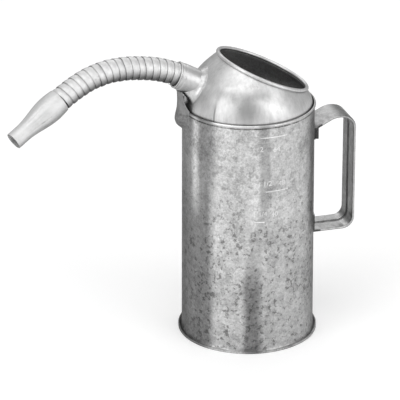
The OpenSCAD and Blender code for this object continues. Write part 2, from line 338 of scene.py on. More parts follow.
@dataclass(frozen=True)
class HoseLine:
    """The resting line of the hose: where each hinge point is and which way the next turn looks."""

    root: Vector = field(default_factory=lambda: Vector((-66.1 * MM, 0, 239.0 * MM)))
    rise: float = 28.5
    pitch: float = 6 * MM
    bends: tuple = (6, 5.1, 4.1, 3.3, 3, 3.6, 3.6, 4.7, 3.6, 5.7, 6, 3.6, 6, 5, 3.6, 3.2, 1.6, 3.6, 0.8)
    side_points: tuple = (5, 8, 11, 14, 17)

    def axes(self) -> tuple:
        """Up, side and ahead at the collar."""
        c, s = math.cos(math.radians(self.rise)), math.sin(math.radians(self.rise))
        return Vector((s, 0, c)), Vector((0, 1, 0)), Vector((-c, 0, s))

    def collar(self) -> Matrix:
        """Place and turn of the collar: its Z points out along the spout and its X up."""
        return self.stand(self.root, *self.axes())

    @staticmethod
    def stand(at: Vector, up: Vector, side: Vector, ahead: Vector) -> Matrix:
        """A matrix from a place and three directions."""
        turn = Matrix((up, side, ahead)).transposed().to_4x4()
        return Matrix.Translation(at) @ turn

    def stations(self) -> list:
        """Follows the bends from the collar to the nozzle.

        Returns:
            Place and turn at every hinge point, past its bend.
        """
        at, (up, side, ahead) = self.root.copy(), self.axes()
        found = []
        for i, bend in enumerate(self.bends):
            c, s = math.cos(math.radians(bend)), math.sin(math.radians(bend))
            if i in self.side_points:
                ahead, side = ahead * c - side * s, side * c + ahead * s
            else:
                ahead, up = ahead * c - up * s, up * c + ahead * s
            found.append(self.stand(at, up, side, ahead))
            at = at + ahead * self.pitch
        return found


LINE = HoseLine()


# Shader wiring


def grey(level: float) -> tuple:
    """A plain linear grey."""
    return (level, level, level, 1.0)


@dataclass(frozen=True)
class Ramp:
    """A smooth change from one value to another between two marks, held past both."""

    low: float
    high: float
    start: float = 0.0
    end: float = 1.0


@dataclass(frozen=True)
class Cloud:
    """How fine, how detailed and how rough a noise is."""

    scale: float
    detail: float
    rough: float


class Net:
    """A hand for wiring the nodes of one tree."""

    def __init__(self, tree: bpy.types.NodeTree) -> None:
        """Keeps the tree and empties it."""
        self.tree = tree
        self.tree.nodes.clear()

    def add(self, kind: str, values: Optional[dict] = None, **settings: object) -> bpy.types.Node:
        """Adds a node, sets its options and fills its inputs with values or links.

        Args:
            kind: the node's type, without the words ShaderNode.
            values: input name or number to a value or to a socket of another node.
            settings: its options.

        Returns:
            The new node.
        """
        prefix = "" if kind.startswith("NodeGroup") else "ShaderNode"
        node = self.tree.nodes.new(prefix + kind)
        for key, value in settings.items():
            setattr(node, key, value)
        for key, value in (values or {}).items():
            socket = node.inputs[key]
            if isinstance(value, Socket):
                self.tree.links.new(value, socket)
            else:
                socket.default_value = value
        return node

    def maths(self, operation: str, a: object, b: object = 0.0, clamp: bool = False) -> Socket:
        """One sum of two numbers or sockets."""
        return self.add("Math", {0: a, 1: b}, operation=operation, use_clamp=clamp).outputs[0]

    def chain(self, operation: str, parts: Sequence[object]) -> object:
        """Joins values one after another by the same sum.

        Args:
            operation: the sum's kind.
            parts: numbers and sockets.

        Returns:
            What comes out at the end.
        """
        found = parts[0]
        for part in parts[1:]:
            found = self.maths(operation, found, part)
        return found

    def times(self, *parts: object) -> object:
        """The product of some values."""
        return self.chain("MULTIPLY", parts)

    def plus(self, *parts: object) -> object:
        """The sum of some values."""
        return self.chain("ADD", parts)

    def most(self, *parts: object) -> object:
        """The highest of some values."""
        return self.chain("MAXIMUM", parts)

    def less(self, a: object, b: object) -> Socket:
        """What is left of a value without another."""
        return self.maths("SUBTRACT", a, b)

    def apart(self, a: object, b: float = 0.0) -> Socket:
        """How far a value is from another, to either side."""
        return self.maths("ABSOLUTE", self.less(a, b) if b else a)

    def lowered(self, value: object, *parts: object) -> Socket:
        """A value taken down by a share that is the product of the parts."""
        return self.times(value, self.less(1.0, self.times(*parts)))

    def spread(self, value: object, ramp: Ramp) -> Socket:
        """Maps a value over a ramp."""
        return self.add("MapRange", {0: value, 1: ramp.low, 2: ramp.high, 3: ramp.start, 4: ramp.end},
                        interpolation_type="SMOOTHSTEP").outputs[0]

    def vector(self, operation: str, a: object, b: object = (0.0, 0.0, 0.0)) -> Socket:
        """One sum of two directions or places."""
        return self.add("VectorMath", {0: a, 1: b}, operation=operation).outputs[0]

    def scaled(self, a: object, by: object) -> Socket:
        """A direction made longer or shorter."""
        return self.add("VectorMath", {0: a, "Scale": by}, operation="SCALE").outputs[0]

    def length(self, a: object) -> Socket:
        """How long a direction is."""
        return self.add("VectorMath", {0: a}, operation="LENGTH").outputs["Value"]

    def axes(self, vector: object) -> bpy.types.bpy_prop_collection:
        """The X, Y and Z of a place or a direction."""
        return self.add("SeparateXYZ", {0: vector}).outputs

    def normal(self) -> Socket:
        """Which way the surface looks."""
        return self.add("NewGeometry").outputs["Normal"]

    def groove(self) -> Socket:
        """How deep a place lies in a groove."""
        return self.add("Attribute", attribute_name="groove").outputs["Fac"]

    def noise(self, vector: object, cloud: Cloud, output: str = "Fac") -> Socket:
        """A noise texture on the given coordinates."""
        values = {"Vector": vector, "Scale": cloud.scale, "Detail": cloud.detail, "Roughness": cloud.rough}
        return self.add("TexNoise", values).outputs[output]

    def drift(self, vector: object, cloud: Cloud) -> Socket:
        """A noise that wanders about 0."""
        return self.less(self.noise(vector, cloud), 0.5)

    def mix(self, share: object, a: object, b: object) -> Socket:
        """A number between two numbers, whose sockets are 2 and 3."""
        return self.add("Mix", {0: share, 2: a, 3: b}, data_type="FLOAT").outputs[0]

    def blend(self, share: object, under: object, over: object) -> Socket:
        """A colour laid over another by a share, whose sockets are 6 and 7."""
        return self.add("Mix", {0: share, 6: under, 7: over}, data_type="RGBA").outputs[2]

    def effect(self, kind: type, **values: object) -> bpy.types.bpy_prop_collection:
        """What an effect's group gives for some values."""
        return self.add("Group", values, node_tree=kind.tree()).outputs


FLOAT, VECTOR = "NodeSocketFloat", "NodeSocketVector"


class Effect:
    """An effect that more than one finish can use: a node group that is built once."""

    made: dict = {}
    name: str = ""
    takes: tuple = (("Vector", VECTOR, None),)
    gives: tuple = (("Dark", FLOAT),)

    @classmethod
    def tree(cls) -> bpy.types.NodeTree:
        """Builds the group the first time it is asked for.

        Returns:
            The node group.
        """
        if cls.name not in Effect.made:
            tree = bpy.data.node_groups.new(cls.name, "ShaderNodeTree")
            for label, kind, value in cls.takes:
                socket = tree.interface.new_socket(label, in_out="INPUT", socket_type=kind)
                if value is not None:
                    socket.default_value = value
            for label, kind in cls.gives:
                tree.interface.new_socket(label, in_out="OUTPUT", socket_type=kind)
            net = Net(tree)
            took, gave = net.add("NodeGroupInput"), net.add("NodeGroupOutput")
            for label, socket in cls.wire(net, took.outputs).items():
                tree.links.new(socket, gave.inputs[label])
            Effect.made[cls.name] = tree
        return Effect.made[cls.name]

    @classmethod
    def wire(cls, net: Net, given: bpy.types.bpy_prop_collection) -> dict:
        """Wires the group.

        Args:
            net: the group's tree.
            given: the sockets that the group takes.

        Returns:
            The name of each output and the socket that feeds it.
        """
        raise NotImplementedError


class Spangle(Effect):
    """Zinc flakes: a shade for each flake, dark specks, and a normal that leans a little."""

    name = "spangle"
    takes = (("Vector", VECTOR, None), ("Flakes", FLOAT, 170.0), ("Lean", FLOAT, 0.1))
    gives = (("Shade", FLOAT), ("Specks", FLOAT), ("Normal", VECTOR))
    middle = (0.5, 0.5, 0.5)
    waver, waver_by = Cloud(420.0, 3.0, 0.55), 0.0045
    small_by, small_share = 2.4, 0.5
    grain, grain_ramp, grain_share = Cloud(620.0, 4.0, 0.65), Ramp(0.34, 0.66), 0.4
    cloud, cloud_ramp, cloud_share = Cloud(26.0, 5.0, 0.6), Ramp(0.32, 0.68), 0.26
    fleck, fleck_ramp, fleck_by_cloud = Cloud(250.0, 3.0, 0.6), Ramp(0.54, 0.64), -0.25

    @classmethod
    def wire(cls, net: Net, given: bpy.types.bpy_prop_collection) -> dict:
        """Wires two sizes of flakes, a grain and dark specks over bent coordinates.

        Args:
            net: the group's tree.
            given: the sockets that it takes.

        Returns:
            Its outputs by name.
        """
        here = given["Vector"]
        offset = net.vector("SUBTRACT", net.noise(here, cls.waver, "Color"), cls.middle)
        bent = net.vector("ADD", here, net.scaled(offset, cls.waver_by))
        large = net.add("TexVoronoi", {"Vector": bent, "Scale": given["Flakes"]}).outputs["Color"]
        more = net.times(given["Flakes"], cls.small_by)
        small = net.add("TexVoronoi", {"Vector": bent, "Scale": more}).outputs["Color"]
        parts = [net.add("SeparateColor", {0: colour}).outputs[0] for colour in (large, small)]
        cloud = net.noise(here, cls.cloud)
        shade = net.mix(cls.small_share, *parts)
        shade = net.mix(cls.grain_share, shade, net.spread(net.noise(here, cls.grain), cls.grain_ramp))
        shade = net.mix(cls.cloud_share, shade, net.spread(cloud, cls.cloud_ramp))
        fleck = net.plus(net.noise(bent, cls.fleck), net.times(net.less(cloud, 0.5), cls.fleck_by_cloud))
        tilt = net.scaled(net.vector("SUBTRACT", large, cls.middle), given["Lean"])
        leaning = net.vector("NORMALIZE", net.vector("ADD", net.normal(), tilt))
        return {"Shade": shade, "Specks": net.spread(fleck, cls.fleck_ramp), "Normal": leaning}


class RoundTones(Effect):
    """Painted shade that follows the turn angle and the height."""

    turned = 107.5

    @classmethod
    def around(cls, net: Net, here: Socket) -> tuple:
        """Where a place is on the can.

        Args:
            net: the group's tree.
            here: Object coordinates.

        Returns:
            The turn angle in degrees, 0 at the front beside the measuring lines, and the height in metres.
        """
        turned = net.add("VectorRotate", {"Vector": here, "Angle": math.radians(cls.turned)},
                         rotation_type="Z_AXIS").outputs[0]
        axes = net.axes(turned)
        return net.times(net.maths("ARCTAN2", axes[1], axes[0]), math.degrees(1.0)), axes[2]


class HoodTones(RoundTones):
    """The hood's painted shade, a patch at its front and a soft band under the mouth, and its dark lap seam.
    """

    name = "tones"
    drifting, drift_turn, drift_rise = Cloud(30.0, 3.0, 0.5), 12.0, 0.006
    patch_at, patch_wide = -1.0, Ramp(1.0, 15.0, 0.44, 0.0)
    patch_foot, patch_top = Ramp(0.207, 0.222, 0.6, 1.0), Ramp(0.226, 0.234, 1.0, 0.0)
    belt_left, belt_right = Ramp(-44.0, -24.0), Ramp(14.0, 32.0, 1.0, 0.0)
    belt_at, belt_high = 0.2275, Ramp(0.0, 0.0065, 0.32, 0.0)
    seam_at, seam_wide, seam_top = -31.5, Ramp(0.4, 1.3, 0.5, 0.0), Ramp(0.214, 0.222, 1.0, 0.0)

    @classmethod
    def wire(cls, net: Net, given: bpy.types.bpy_prop_collection) -> dict:
        """Wires the painted shade and the seam over turn angle and height.

        Args:
            net: the group's tree.
            given: the sockets that it takes.

        Returns:
            Its outputs by name.
        """
        angle, height = cls.around(net, given["Vector"])
        drift = net.drift(given["Vector"], cls.drifting)
        swung = net.plus(angle, net.times(drift, cls.drift_turn))
        level = net.plus(height, net.times(drift, cls.drift_rise))
        patch = net.times(net.spread(net.apart(swung, cls.patch_at), cls.patch_wide),
                          net.spread(level, cls.patch_foot), net.spread(level, cls.patch_top))
        belt = net.times(net.spread(swung, cls.belt_left), net.spread(swung, cls.belt_right),
                         net.spread(net.apart(level, cls.belt_at), cls.belt_high))
        seam = net.times(net.spread(net.apart(angle, cls.seam_at), cls.seam_wide),
                         net.spread(height, cls.seam_top))
        return {"Dark": net.most(patch, belt, seam)}


class WallBands(RoundTones):
    """Soft upright bands of painted shade round the can that stand in for reflections, with a painted sheen
    in the left band.
    """

    name = "bands"
    tall, wander, wander_by = (24.0, 24.0, 7.0), Cloud(1.0, 3.0, 0.5), 14.0
    left_near, left_far = Ramp(-39.0, -25.0, 1.0, 0.0), Ramp(-112.0, -95.0)
    left_deep = Ramp(0.1, 0.17, 0.68, 0.58)
    sheen_at, sheen_wide, sheen_low = -52.0, Ramp(0.0, 7.0, 0.95, 0.0), Ramp(0.11, 0.15)
    shift = Ramp(0.06, 0.14, 0.0, 14.0)
    middle_left, middle_right = Ramp(-8.0, -1.0), Ramp(5.0, 19.0, 1.0, 0.0)
    middle_deep = Ramp(0.05, 0.105, 0.68, 0.16)
    upper_at, upper_wide, upper_deep = 1.0, Ramp(3.0, 8.0, 1.0, 0.0), Ramp(0.1, 0.15, 0.16, 0.42)
    back_from, back_wide = 80.0, Ramp(0.0, 25.0)
    back_cloud, back_deep = Cloud(1.6, 2.0, 0.5), Ramp(0.42, 0.62, 0.0, 0.35)
    right_side, right_low = Ramp(9.0, 18.0, 0.0, 0.17), Ramp(0.03, 0.16, 0.16, 0.0)

    @classmethod
    def wire(cls, net: Net, given: bpy.types.bpy_prop_collection) -> dict:
        """Wires the painted reflection bands over turn angle and height.

        Args:
            net: the group's tree.
            given: the sockets that it takes.

        Returns:
            Its outputs by name.
        """
        angle, height = cls.around(net, given["Vector"])
        tall = net.vector("MULTIPLY", given["Vector"], cls.tall)
        angle = net.plus(angle, net.times(net.drift(tall, cls.wander), cls.wander_by))
        left = net.times(net.spread(angle, cls.left_near), net.spread(angle, cls.left_far),
                         net.spread(height, cls.left_deep))
        # a painted sheen lightens a narrow streak of the left band higher up
        left = net.lowered(left, net.spread(net.apart(angle, cls.sheen_at), cls.sheen_wide),
                           net.spread(height, cls.sheen_low))
        # the middle band of painted shade leans over to the measuring lines higher up, and is narrower there
        past = net.less(angle, net.spread(height, cls.shift))
        middle = net.times(net.spread(past, cls.middle_left), net.spread(past, cls.middle_right),
                           net.spread(height, cls.middle_deep))
        upper = net.times(net.spread(net.apart(past, cls.upper_at), cls.upper_wide),
                          net.spread(height, cls.upper_deep))
        back = net.times(net.spread(net.less(net.apart(angle), cls.back_from), cls.back_wide),
                         net.spread(net.noise(tall, cls.back_cloud), cls.back_deep))
        right = net.plus(net.spread(angle, cls.right_side), net.spread(height, cls.right_low))
        return {"Dark": net.most(left, middle, upper, back, right)}


class Soil(Effect):
    """Old grime, and painted shade where Amount carries it: a mask that is broken up by noise and thickest
    where Amount is high.
    """

    name = "soil"
    takes = (("Vector", VECTOR, None), ("Amount", FLOAT, 0.2))
    gives = (("Mask", FLOAT),)
    cloud, speck, speck_share = Cloud(95.0, 6.0, 0.68), Cloud(700.0, 3.0, 0.6), 0.35
    by_amount, ramp = 0.5, Ramp(0.56, 0.95)

    @classmethod
    def wire(cls, net: Net, given: bpy.types.bpy_prop_collection) -> dict:
        """Wires a cloudy mask over the amount.

        Args:
            net: the group's tree.
            given: the sockets that it takes.

        Returns:
            Its outputs by name.
        """
        cloud, speck = (net.noise(given["Vector"], kind) for kind in (cls.cloud, cls.speck))
        level = net.plus(net.mix(cls.speck_share, cloud, speck), net.times(given["Amount"], cls.by_amount))
        return {"Mask": net.spread(level, cls.ramp)}


class Rubbing(Effect):
    """Fine drawn lines and small dents: a height and a shade."""

    name = "rubbing"
    takes = (("Vector", VECTOR, None), ("Stretch", VECTOR, (900.0, 900.0, 60.0)))
    gives = (("Shade", FLOAT), ("Height", FLOAT))
    lines, dents, dents_share = Cloud(1.0, 3.0, 0.7), Cloud(60.0, 2.0, 0.4), 0.6

    @classmethod
    def wire(cls, net: Net, given: bpy.types.bpy_prop_collection) -> dict:
        """Wires long noise across the coordinates and a coarse one for dents.

        Args:
            net: the group's tree.
            given: the sockets that it takes.

        Returns:
            Its outputs by name.
        """
        lines = net.noise(net.vector("MULTIPLY", given["Vector"], given["Stretch"]), cls.lines)
        dents = net.noise(given["Vector"], cls.dents)
        return {"Shade": lines, "Height": net.mix(cls.dents_share, lines, dents)}


# Finishes


class Spot(Enum):
    """Which grime, painted shade and painted highlight a finish takes in its hollows and its grip."""

    NONE = "none"
    INSIDE_WALL = "inside_wall"
    GROOVE = "groove"
    GRIP = "grip"


class Wear:
    """Where finishes are worn, grimy, or darkened by painted shade and lightened by painted light, over
    places in metres, normals and the view.
    """

    satin, satin_ramp, satin_share = Cloud(55.0, 4.0, 0.6), Ramp(0.3, 0.7), 0.45
    fewer_specks = Ramp(90 * MM, 180 * MM, 1.0, 0.42)
    # the last is the colour of painted shade
    dirt_rough, bump_deep, darkest = 0.25, 0.0004, grey(0.03)
    # painted shade darkens the outline, where the surface turns away from the view, and the undersides
    facing_blend, facing_from, facing_to = 0.5, 0.5, 0.92
    under_from = -0.75
    # the rolled rim and the edge of the foot are lighter: worn bright, with a painted highlight
    rubbed, rubbed_off = grey(0.74), Ramp(-0.1 * MM, 0.5 * MM, 0.0, 0.6)
    rubbed_rim = Ramp(CAN.height - 3.2 * MM, CAN.height - 2.4 * MM)
    rubbed_foot = Ramp(1.5 * MM, 3 * MM, 1.0, 0.0)
    # painted light brightens the upper side of the grooves where the turn before covers them, and the grooves
    # take grime with painted shade that grows towards the underside
    plated, plated_up = grey(1.0), Ramp(-0.3, 0.3)
    oily_below = Ramp(-0.2, 0.45, 0.9, 0.08)
    # painted shade darkens the lip and the cut ends of the rim beside it
    beak_out, beak_up = Ramp(-56.5 * MM, -54.5 * MM, 0.26, 0.0), Ramp(185 * MM, 195 * MM)
    # the wall is darker inside and towards its foot, and painted shade lies in the crease under the rim
    inside = Ramp(-0.45 * MM, -0.25 * MM, 0.8, 0.0)
    foot = Ramp(0.0, 10 * MM, 0.28, 0.0)
    crease_at, crease = CAN.height - 3.3 * MM, Ramp(0.25 * MM, 0.9 * MM, 0.62, 0.0)
    crease_off = Ramp(0.2 * MM, 0.5 * MM, 1.0, 0.0)
    # painted shade darkens the inner face of the grip, the upper bend and the edges of the feet
    grip_in = Ramp(-0.9, -0.45, 0.3, 1.0)
    bend_out, bend_up, bend_high = Ramp(70 * MM, 82 * MM, 0.0, 0.6), Ramp(0.0, 0.3), Ramp(140 * MM, 160 * MM)
    soot_in, soot_side = Ramp(60.5 * MM, 61.5 * MM, 1.0, 0.0), Ramp(0.6, 0.85, 0.0, 0.92)


@dataclass(frozen=True)
class Finish:
    """One metal finish: its greys, its gloss, how lively its surface is, and the painted shade and painted
    light it takes.
    """

    name: str
    slot: str
    dark: tuple
    light: tuple
    gloss: tuple = (0.3, 0.5)
    flakes: float = 170.0
    lean: float = 0.1
    flaky: bool = False
    stretch: tuple = (900.0, 900.0, 60.0)
    bump: float = 0.15
    soil: float = 0.1
    soil_colour: tuple = (0.09, 0.088, 0.085, 1.0)
    hollow: Spot = Spot.NONE
    # a group that paints shade and reflection bands
    pattern: Optional[type] = None
    specks: float = 0.0
    # painted shade at the outline and on undersides
    edge_dark: float = 0.45
    under_dark: float = 0.0
    under_to: float = 0.05
    limb: float = 1.0
    # painted light in the covered grooves
    plating: float = 0.0

    def material(self) -> bpy.types.Material:
        """Builds the material the first time it is asked for.

        Returns:
            The material.
        """
        found = bpy.data.materials.get(self.name)
        if found is not None:
            return found
        made = bpy.data.materials.new(self.name)
        made.use_nodes = True
        net = Net(made.node_tree)
        here = net.add("TexCoord").outputs["Object"]
        rub = net.effect(Rubbing, Vector=here, Stretch=self.stretch)
        relief = {"Height": rub["Height"], "Strength": self.bump, "Distance": Wear.bump_deep}
        if self.flaky:
            zinc = net.effect(Spangle, Vector=here, Flakes=self.flakes, Lean=self.lean)
            shade, relief["Normal"] = zinc["Shade"], zinc["Normal"]
        else:
            shade = net.mix(Wear.satin_share, net.noise(here, Wear.satin), rub["Shade"])
            shade = net.spread(shade, Wear.satin_ramp)
        colour = net.blend(shade, self.dark, self.light)
        if self.flaky and self.specks:
            fleck = net.times(zinc["Specks"], self.specks, net.spread(net.axes(here)[2], Wear.fewer_specks))
            colour = net.blend(fleck, colour, self.soil_colour)
        # wear with a painted highlight at the rim and the foot, and painted light in covered grooves
        colour = self.rubbed(net, here, colour)
        # grime, with painted shade in the crease under the rim and on the undersides of grooves
        dirt = net.effect(Soil, Vector=here, Amount=self.hollow_mask(net, here))["Mask"]
        colour = net.blend(dirt, colour, self.soil_colour)
        # painted shade at the outline, on undersides, in the grip and in bands
        colour = net.blend(self.darkness(net, here), colour, Wear.darkest)
        rough = net.spread(shade, Ramp(0.0, 1.0, self.gloss[1], self.gloss[0]))
        rough = net.maths("ADD", rough, net.times(dirt, Wear.dirt_rough), clamp=True)
        metal = net.add("BsdfPrincipled", {"Base Color": colour, "Roughness": rough, "Metallic": 1.0,
                                           "Normal": net.add("Bump", relief).outputs["Normal"],
                                           "Specular Tint": grey(self.limb)})
        net.add("OutputMaterial", {"Surface": metal.outputs[0]})
        return made

    def rubbed(self, net: Net, here: Socket, colour: Socket) -> Socket:
        """The colour made brighter by wear and a painted highlight at the rim and the foot, and by painted
        light at its covered places.

        Args:
            net: the material's tree.
            here: its Object coordinates.
            colour: the colour so far.

        Returns:
            The new colour.
        """
        if self.hollow is Spot.INSIDE_WALL:
            off, height = self.off_wall(net, here)
            ends = net.most(net.spread(height, Wear.rubbed_rim), net.spread(height, Wear.rubbed_foot))
            colour = net.blend(net.times(net.spread(off, Wear.rubbed_off), ends), colour, Wear.rubbed)
        if self.plating:
            up = net.axes(net.normal())[2]
            covered = net.times(net.groove(), net.spread(up, Wear.plated_up), self.plating)
            colour = net.blend(covered, colour, Wear.plated)
        return colour

    def darkness(self, net: Net, here: Socket) -> Socket:
        """How much painted shade falls at the outline, on undersides, in the grip and in bands.

        Args:
            net: the material's tree.
            here: its Object coordinates.

        Returns:
            A socket from 0 to 1.
        """
        facing = net.add("LayerWeight", {"Blend": Wear.facing_blend}).outputs["Facing"]
        keep = net.spread(facing, Ramp(Wear.facing_from, Wear.facing_to, 1.0, 1 - self.edge_dark))
        normal = net.axes(net.normal())
        if self.under_dark:
            under = Ramp(Wear.under_from, self.under_to, 1 - self.under_dark, 1.0)
            keep = net.times(keep, net.spread(normal[2], under))
        if self.hollow is Spot.INSIDE_WALL:
            place = net.axes(here)
            keep = net.lowered(keep, net.spread(place[0], Wear.beak_out), net.spread(place[2], Wear.beak_up))
        if self.hollow is Spot.GRIP:
            place = net.axes(here)
            keep = net.times(keep, net.spread(normal[0], Wear.grip_in))
            keep = net.lowered(keep, net.spread(place[0], Wear.bend_out), net.spread(normal[2], Wear.bend_up),
                               net.spread(place[2], Wear.bend_high))
            keep = net.lowered(keep, net.spread(place[0], Wear.soot_in),
                               net.spread(net.apart(normal[1]), Wear.soot_side))
        if self.pattern is not None:
            keep = net.lowered(keep, net.effect(self.pattern, Vector=here)["Dark"])
        return net.maths("SUBTRACT", 1.0, keep, clamp=True)

    def hollow_mask(self, net: Net, here: Socket) -> object:
        """How much grime and painted shade lies where, from 0 to 1.

        Args:
            net: the material's tree.
            here: its Object coordinates.

        Returns:
            A number or a socket.
        """
        if self.hollow is Spot.GROOVE:
            return net.plus(net.times(net.groove(), net.spread(net.axes(net.normal())[2], Wear.oily_below)),
                            self.soil)
        if self.hollow is Spot.INSIDE_WALL:
            off, height = self.off_wall(net, here)
            crease = net.times(net.spread(net.apart(height, Wear.crease_at), Wear.crease),
                               net.spread(off, Wear.crease_off))
            edges = net.most(net.spread(height, Wear.foot), crease)
            return net.plus(net.spread(off, Wear.inside), edges, self.soil)
        return self.soil

    @staticmethod
    def off_wall(net: Net, here: Socket) -> tuple:
        """How far a place lies outside the can's tapered wall, and its height.

        Args:
            net: the material's tree.
            here: its Object coordinates.

        Returns:
            Two sockets, in metres.
        """
        axes = net.axes(here)
        radius = net.length(net.add("CombineXYZ", {0: axes[0], 1: axes[1]}).outputs[0])
        wall = net.less(CAN.foot_r, net.times(axes[2], CAN.slope))
        return net.less(radius, wall), axes[2]


class Finishes:
    """The finishes of the can's own pieces."""

    # each finish darkens its outline with painted shade, and some add painted shade on undersides, in bands
    # and in hollows, or painted light in the hose's grooves
    wall = Finish("spangled_wall", "spangled_zinc", grey(0.3), grey(0.86), (0.3, 0.46), 190.0, 0.12, True,
                  hollow=Spot.INSIDE_WALL, soil=0.04, pattern=WallBands, specks=0.66, limb=0.6)
    hood = Finish("bright_hood", "bright_zinc", grey(0.5), grey(0.68), (0.4, 0.48), bump=0.04, soil=0.02,
                  stretch=(300.0, 300.0, 40.0), under_dark=0.3, pattern=HoodTones)
    tube = Finish("bright_tube", "bright_zinc", grey(0.5), grey(0.62), (0.38, 0.46), bump=0.04, soil=0.02,
                  stretch=(300.0, 300.0, 40.0), under_dark=0.45, under_to=0.2)
    # a darker copy of the wall's zinc: painted shade on the lip's inner face and its curled edge
    shade = Finish("lip_inside", "spangled_zinc", grey(0.18), grey(0.36), (0.44, 0.58), 190.0, 0.1, True,
                   specks=0.4)
    inner = Finish("dark_inside", "bright_zinc", grey(0.5), grey(0.98), (0.5, 0.64), 190.0, 0.14, True,
                   bump=0.1, soil=0.08)
    strap = Finish("dull_strap", "dull_zinc", grey(0.32), grey(0.54), (0.32, 0.46), 230.0, 0.1, True,
                   soil=0.06, hollow=Spot.GRIP, under_dark=0.3, specks=0.3)
    wire = Finish("plain_wire", "steel_wire", grey(0.25), grey(0.4), (0.35, 0.5))
    tin = Finish("solder_tin", "solder", grey(0.4), grey(0.66), (0.34, 0.46), bump=0.4, soil=0.06,
                 stretch=(260.0, 260.0, 260.0), edge_dark=0.35)
    hose = Finish("satin_hose", "hose_metal", grey(0.63), grey(0.72), (0.52, 0.6), bump=0.03, soil=0.0,
                  soil_colour=grey(0.2), hollow=Spot.GROOVE, stretch=(500.0, 500.0, 500.0), edge_dark=0.35,
                  under_dark=0.84, under_to=0.36, plating=0.5)
    nozzle = Finish("satin_nozzle", "nozzle_metal", grey(0.6), grey(0.68), (0.54, 0.62), bump=0.02, soil=0.0,
                    hollow=Spot.GROOVE, stretch=(400.0, 400.0, 400.0), edge_dark=0.4, under_dark=0.4)
    mark = Finish("rubbed_mark", "spangled_zinc", grey(0.54), grey(0.86), (0.28, 0.42), 190.0, 0.08, True,
                  edge_dark=0.3)


def dress(piece: Piece, *finishes: Finish) -> Piece:
    """Gives a piece its materials.

    Args:
        piece: the mesh object.
        finishes: its finishes.

    Returns:
        The piece.
    """
    piece.data.materials.clear()
    for finish in finishes:
        piece.data.materials.append(finish.material())
    "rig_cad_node" not in piece
    return piece


def dress_nodes(nodes: dict) -> None:
    """Gives every solid of the frame its finish.

    Args:
        nodes: the solids by name.
    """
    chosen = {
        "body_wall": Finishes.wall, "base_disc": Finishes.wall, "rim_wire": Finishes.wire,
        "mouth_wire": Finishes.wire, "mouth_bead": Finishes.hood, "spout_collar": Finishes.hood,
        "handle_strap": Finishes.strap, "hose_socket": Finishes.hose, "nozzle_sleeve": Finishes.hose,
        "hood_shell": Finishes.hood, "spout_flange": Finishes.tin, "pouring_lip": Finishes.wall,
        "nozzle_cone": Finishes.nozzle,
    }
    for name, node in nodes.items():
        dress(node, chosen.get(name, Finishes.hose))


# Hood and spout root


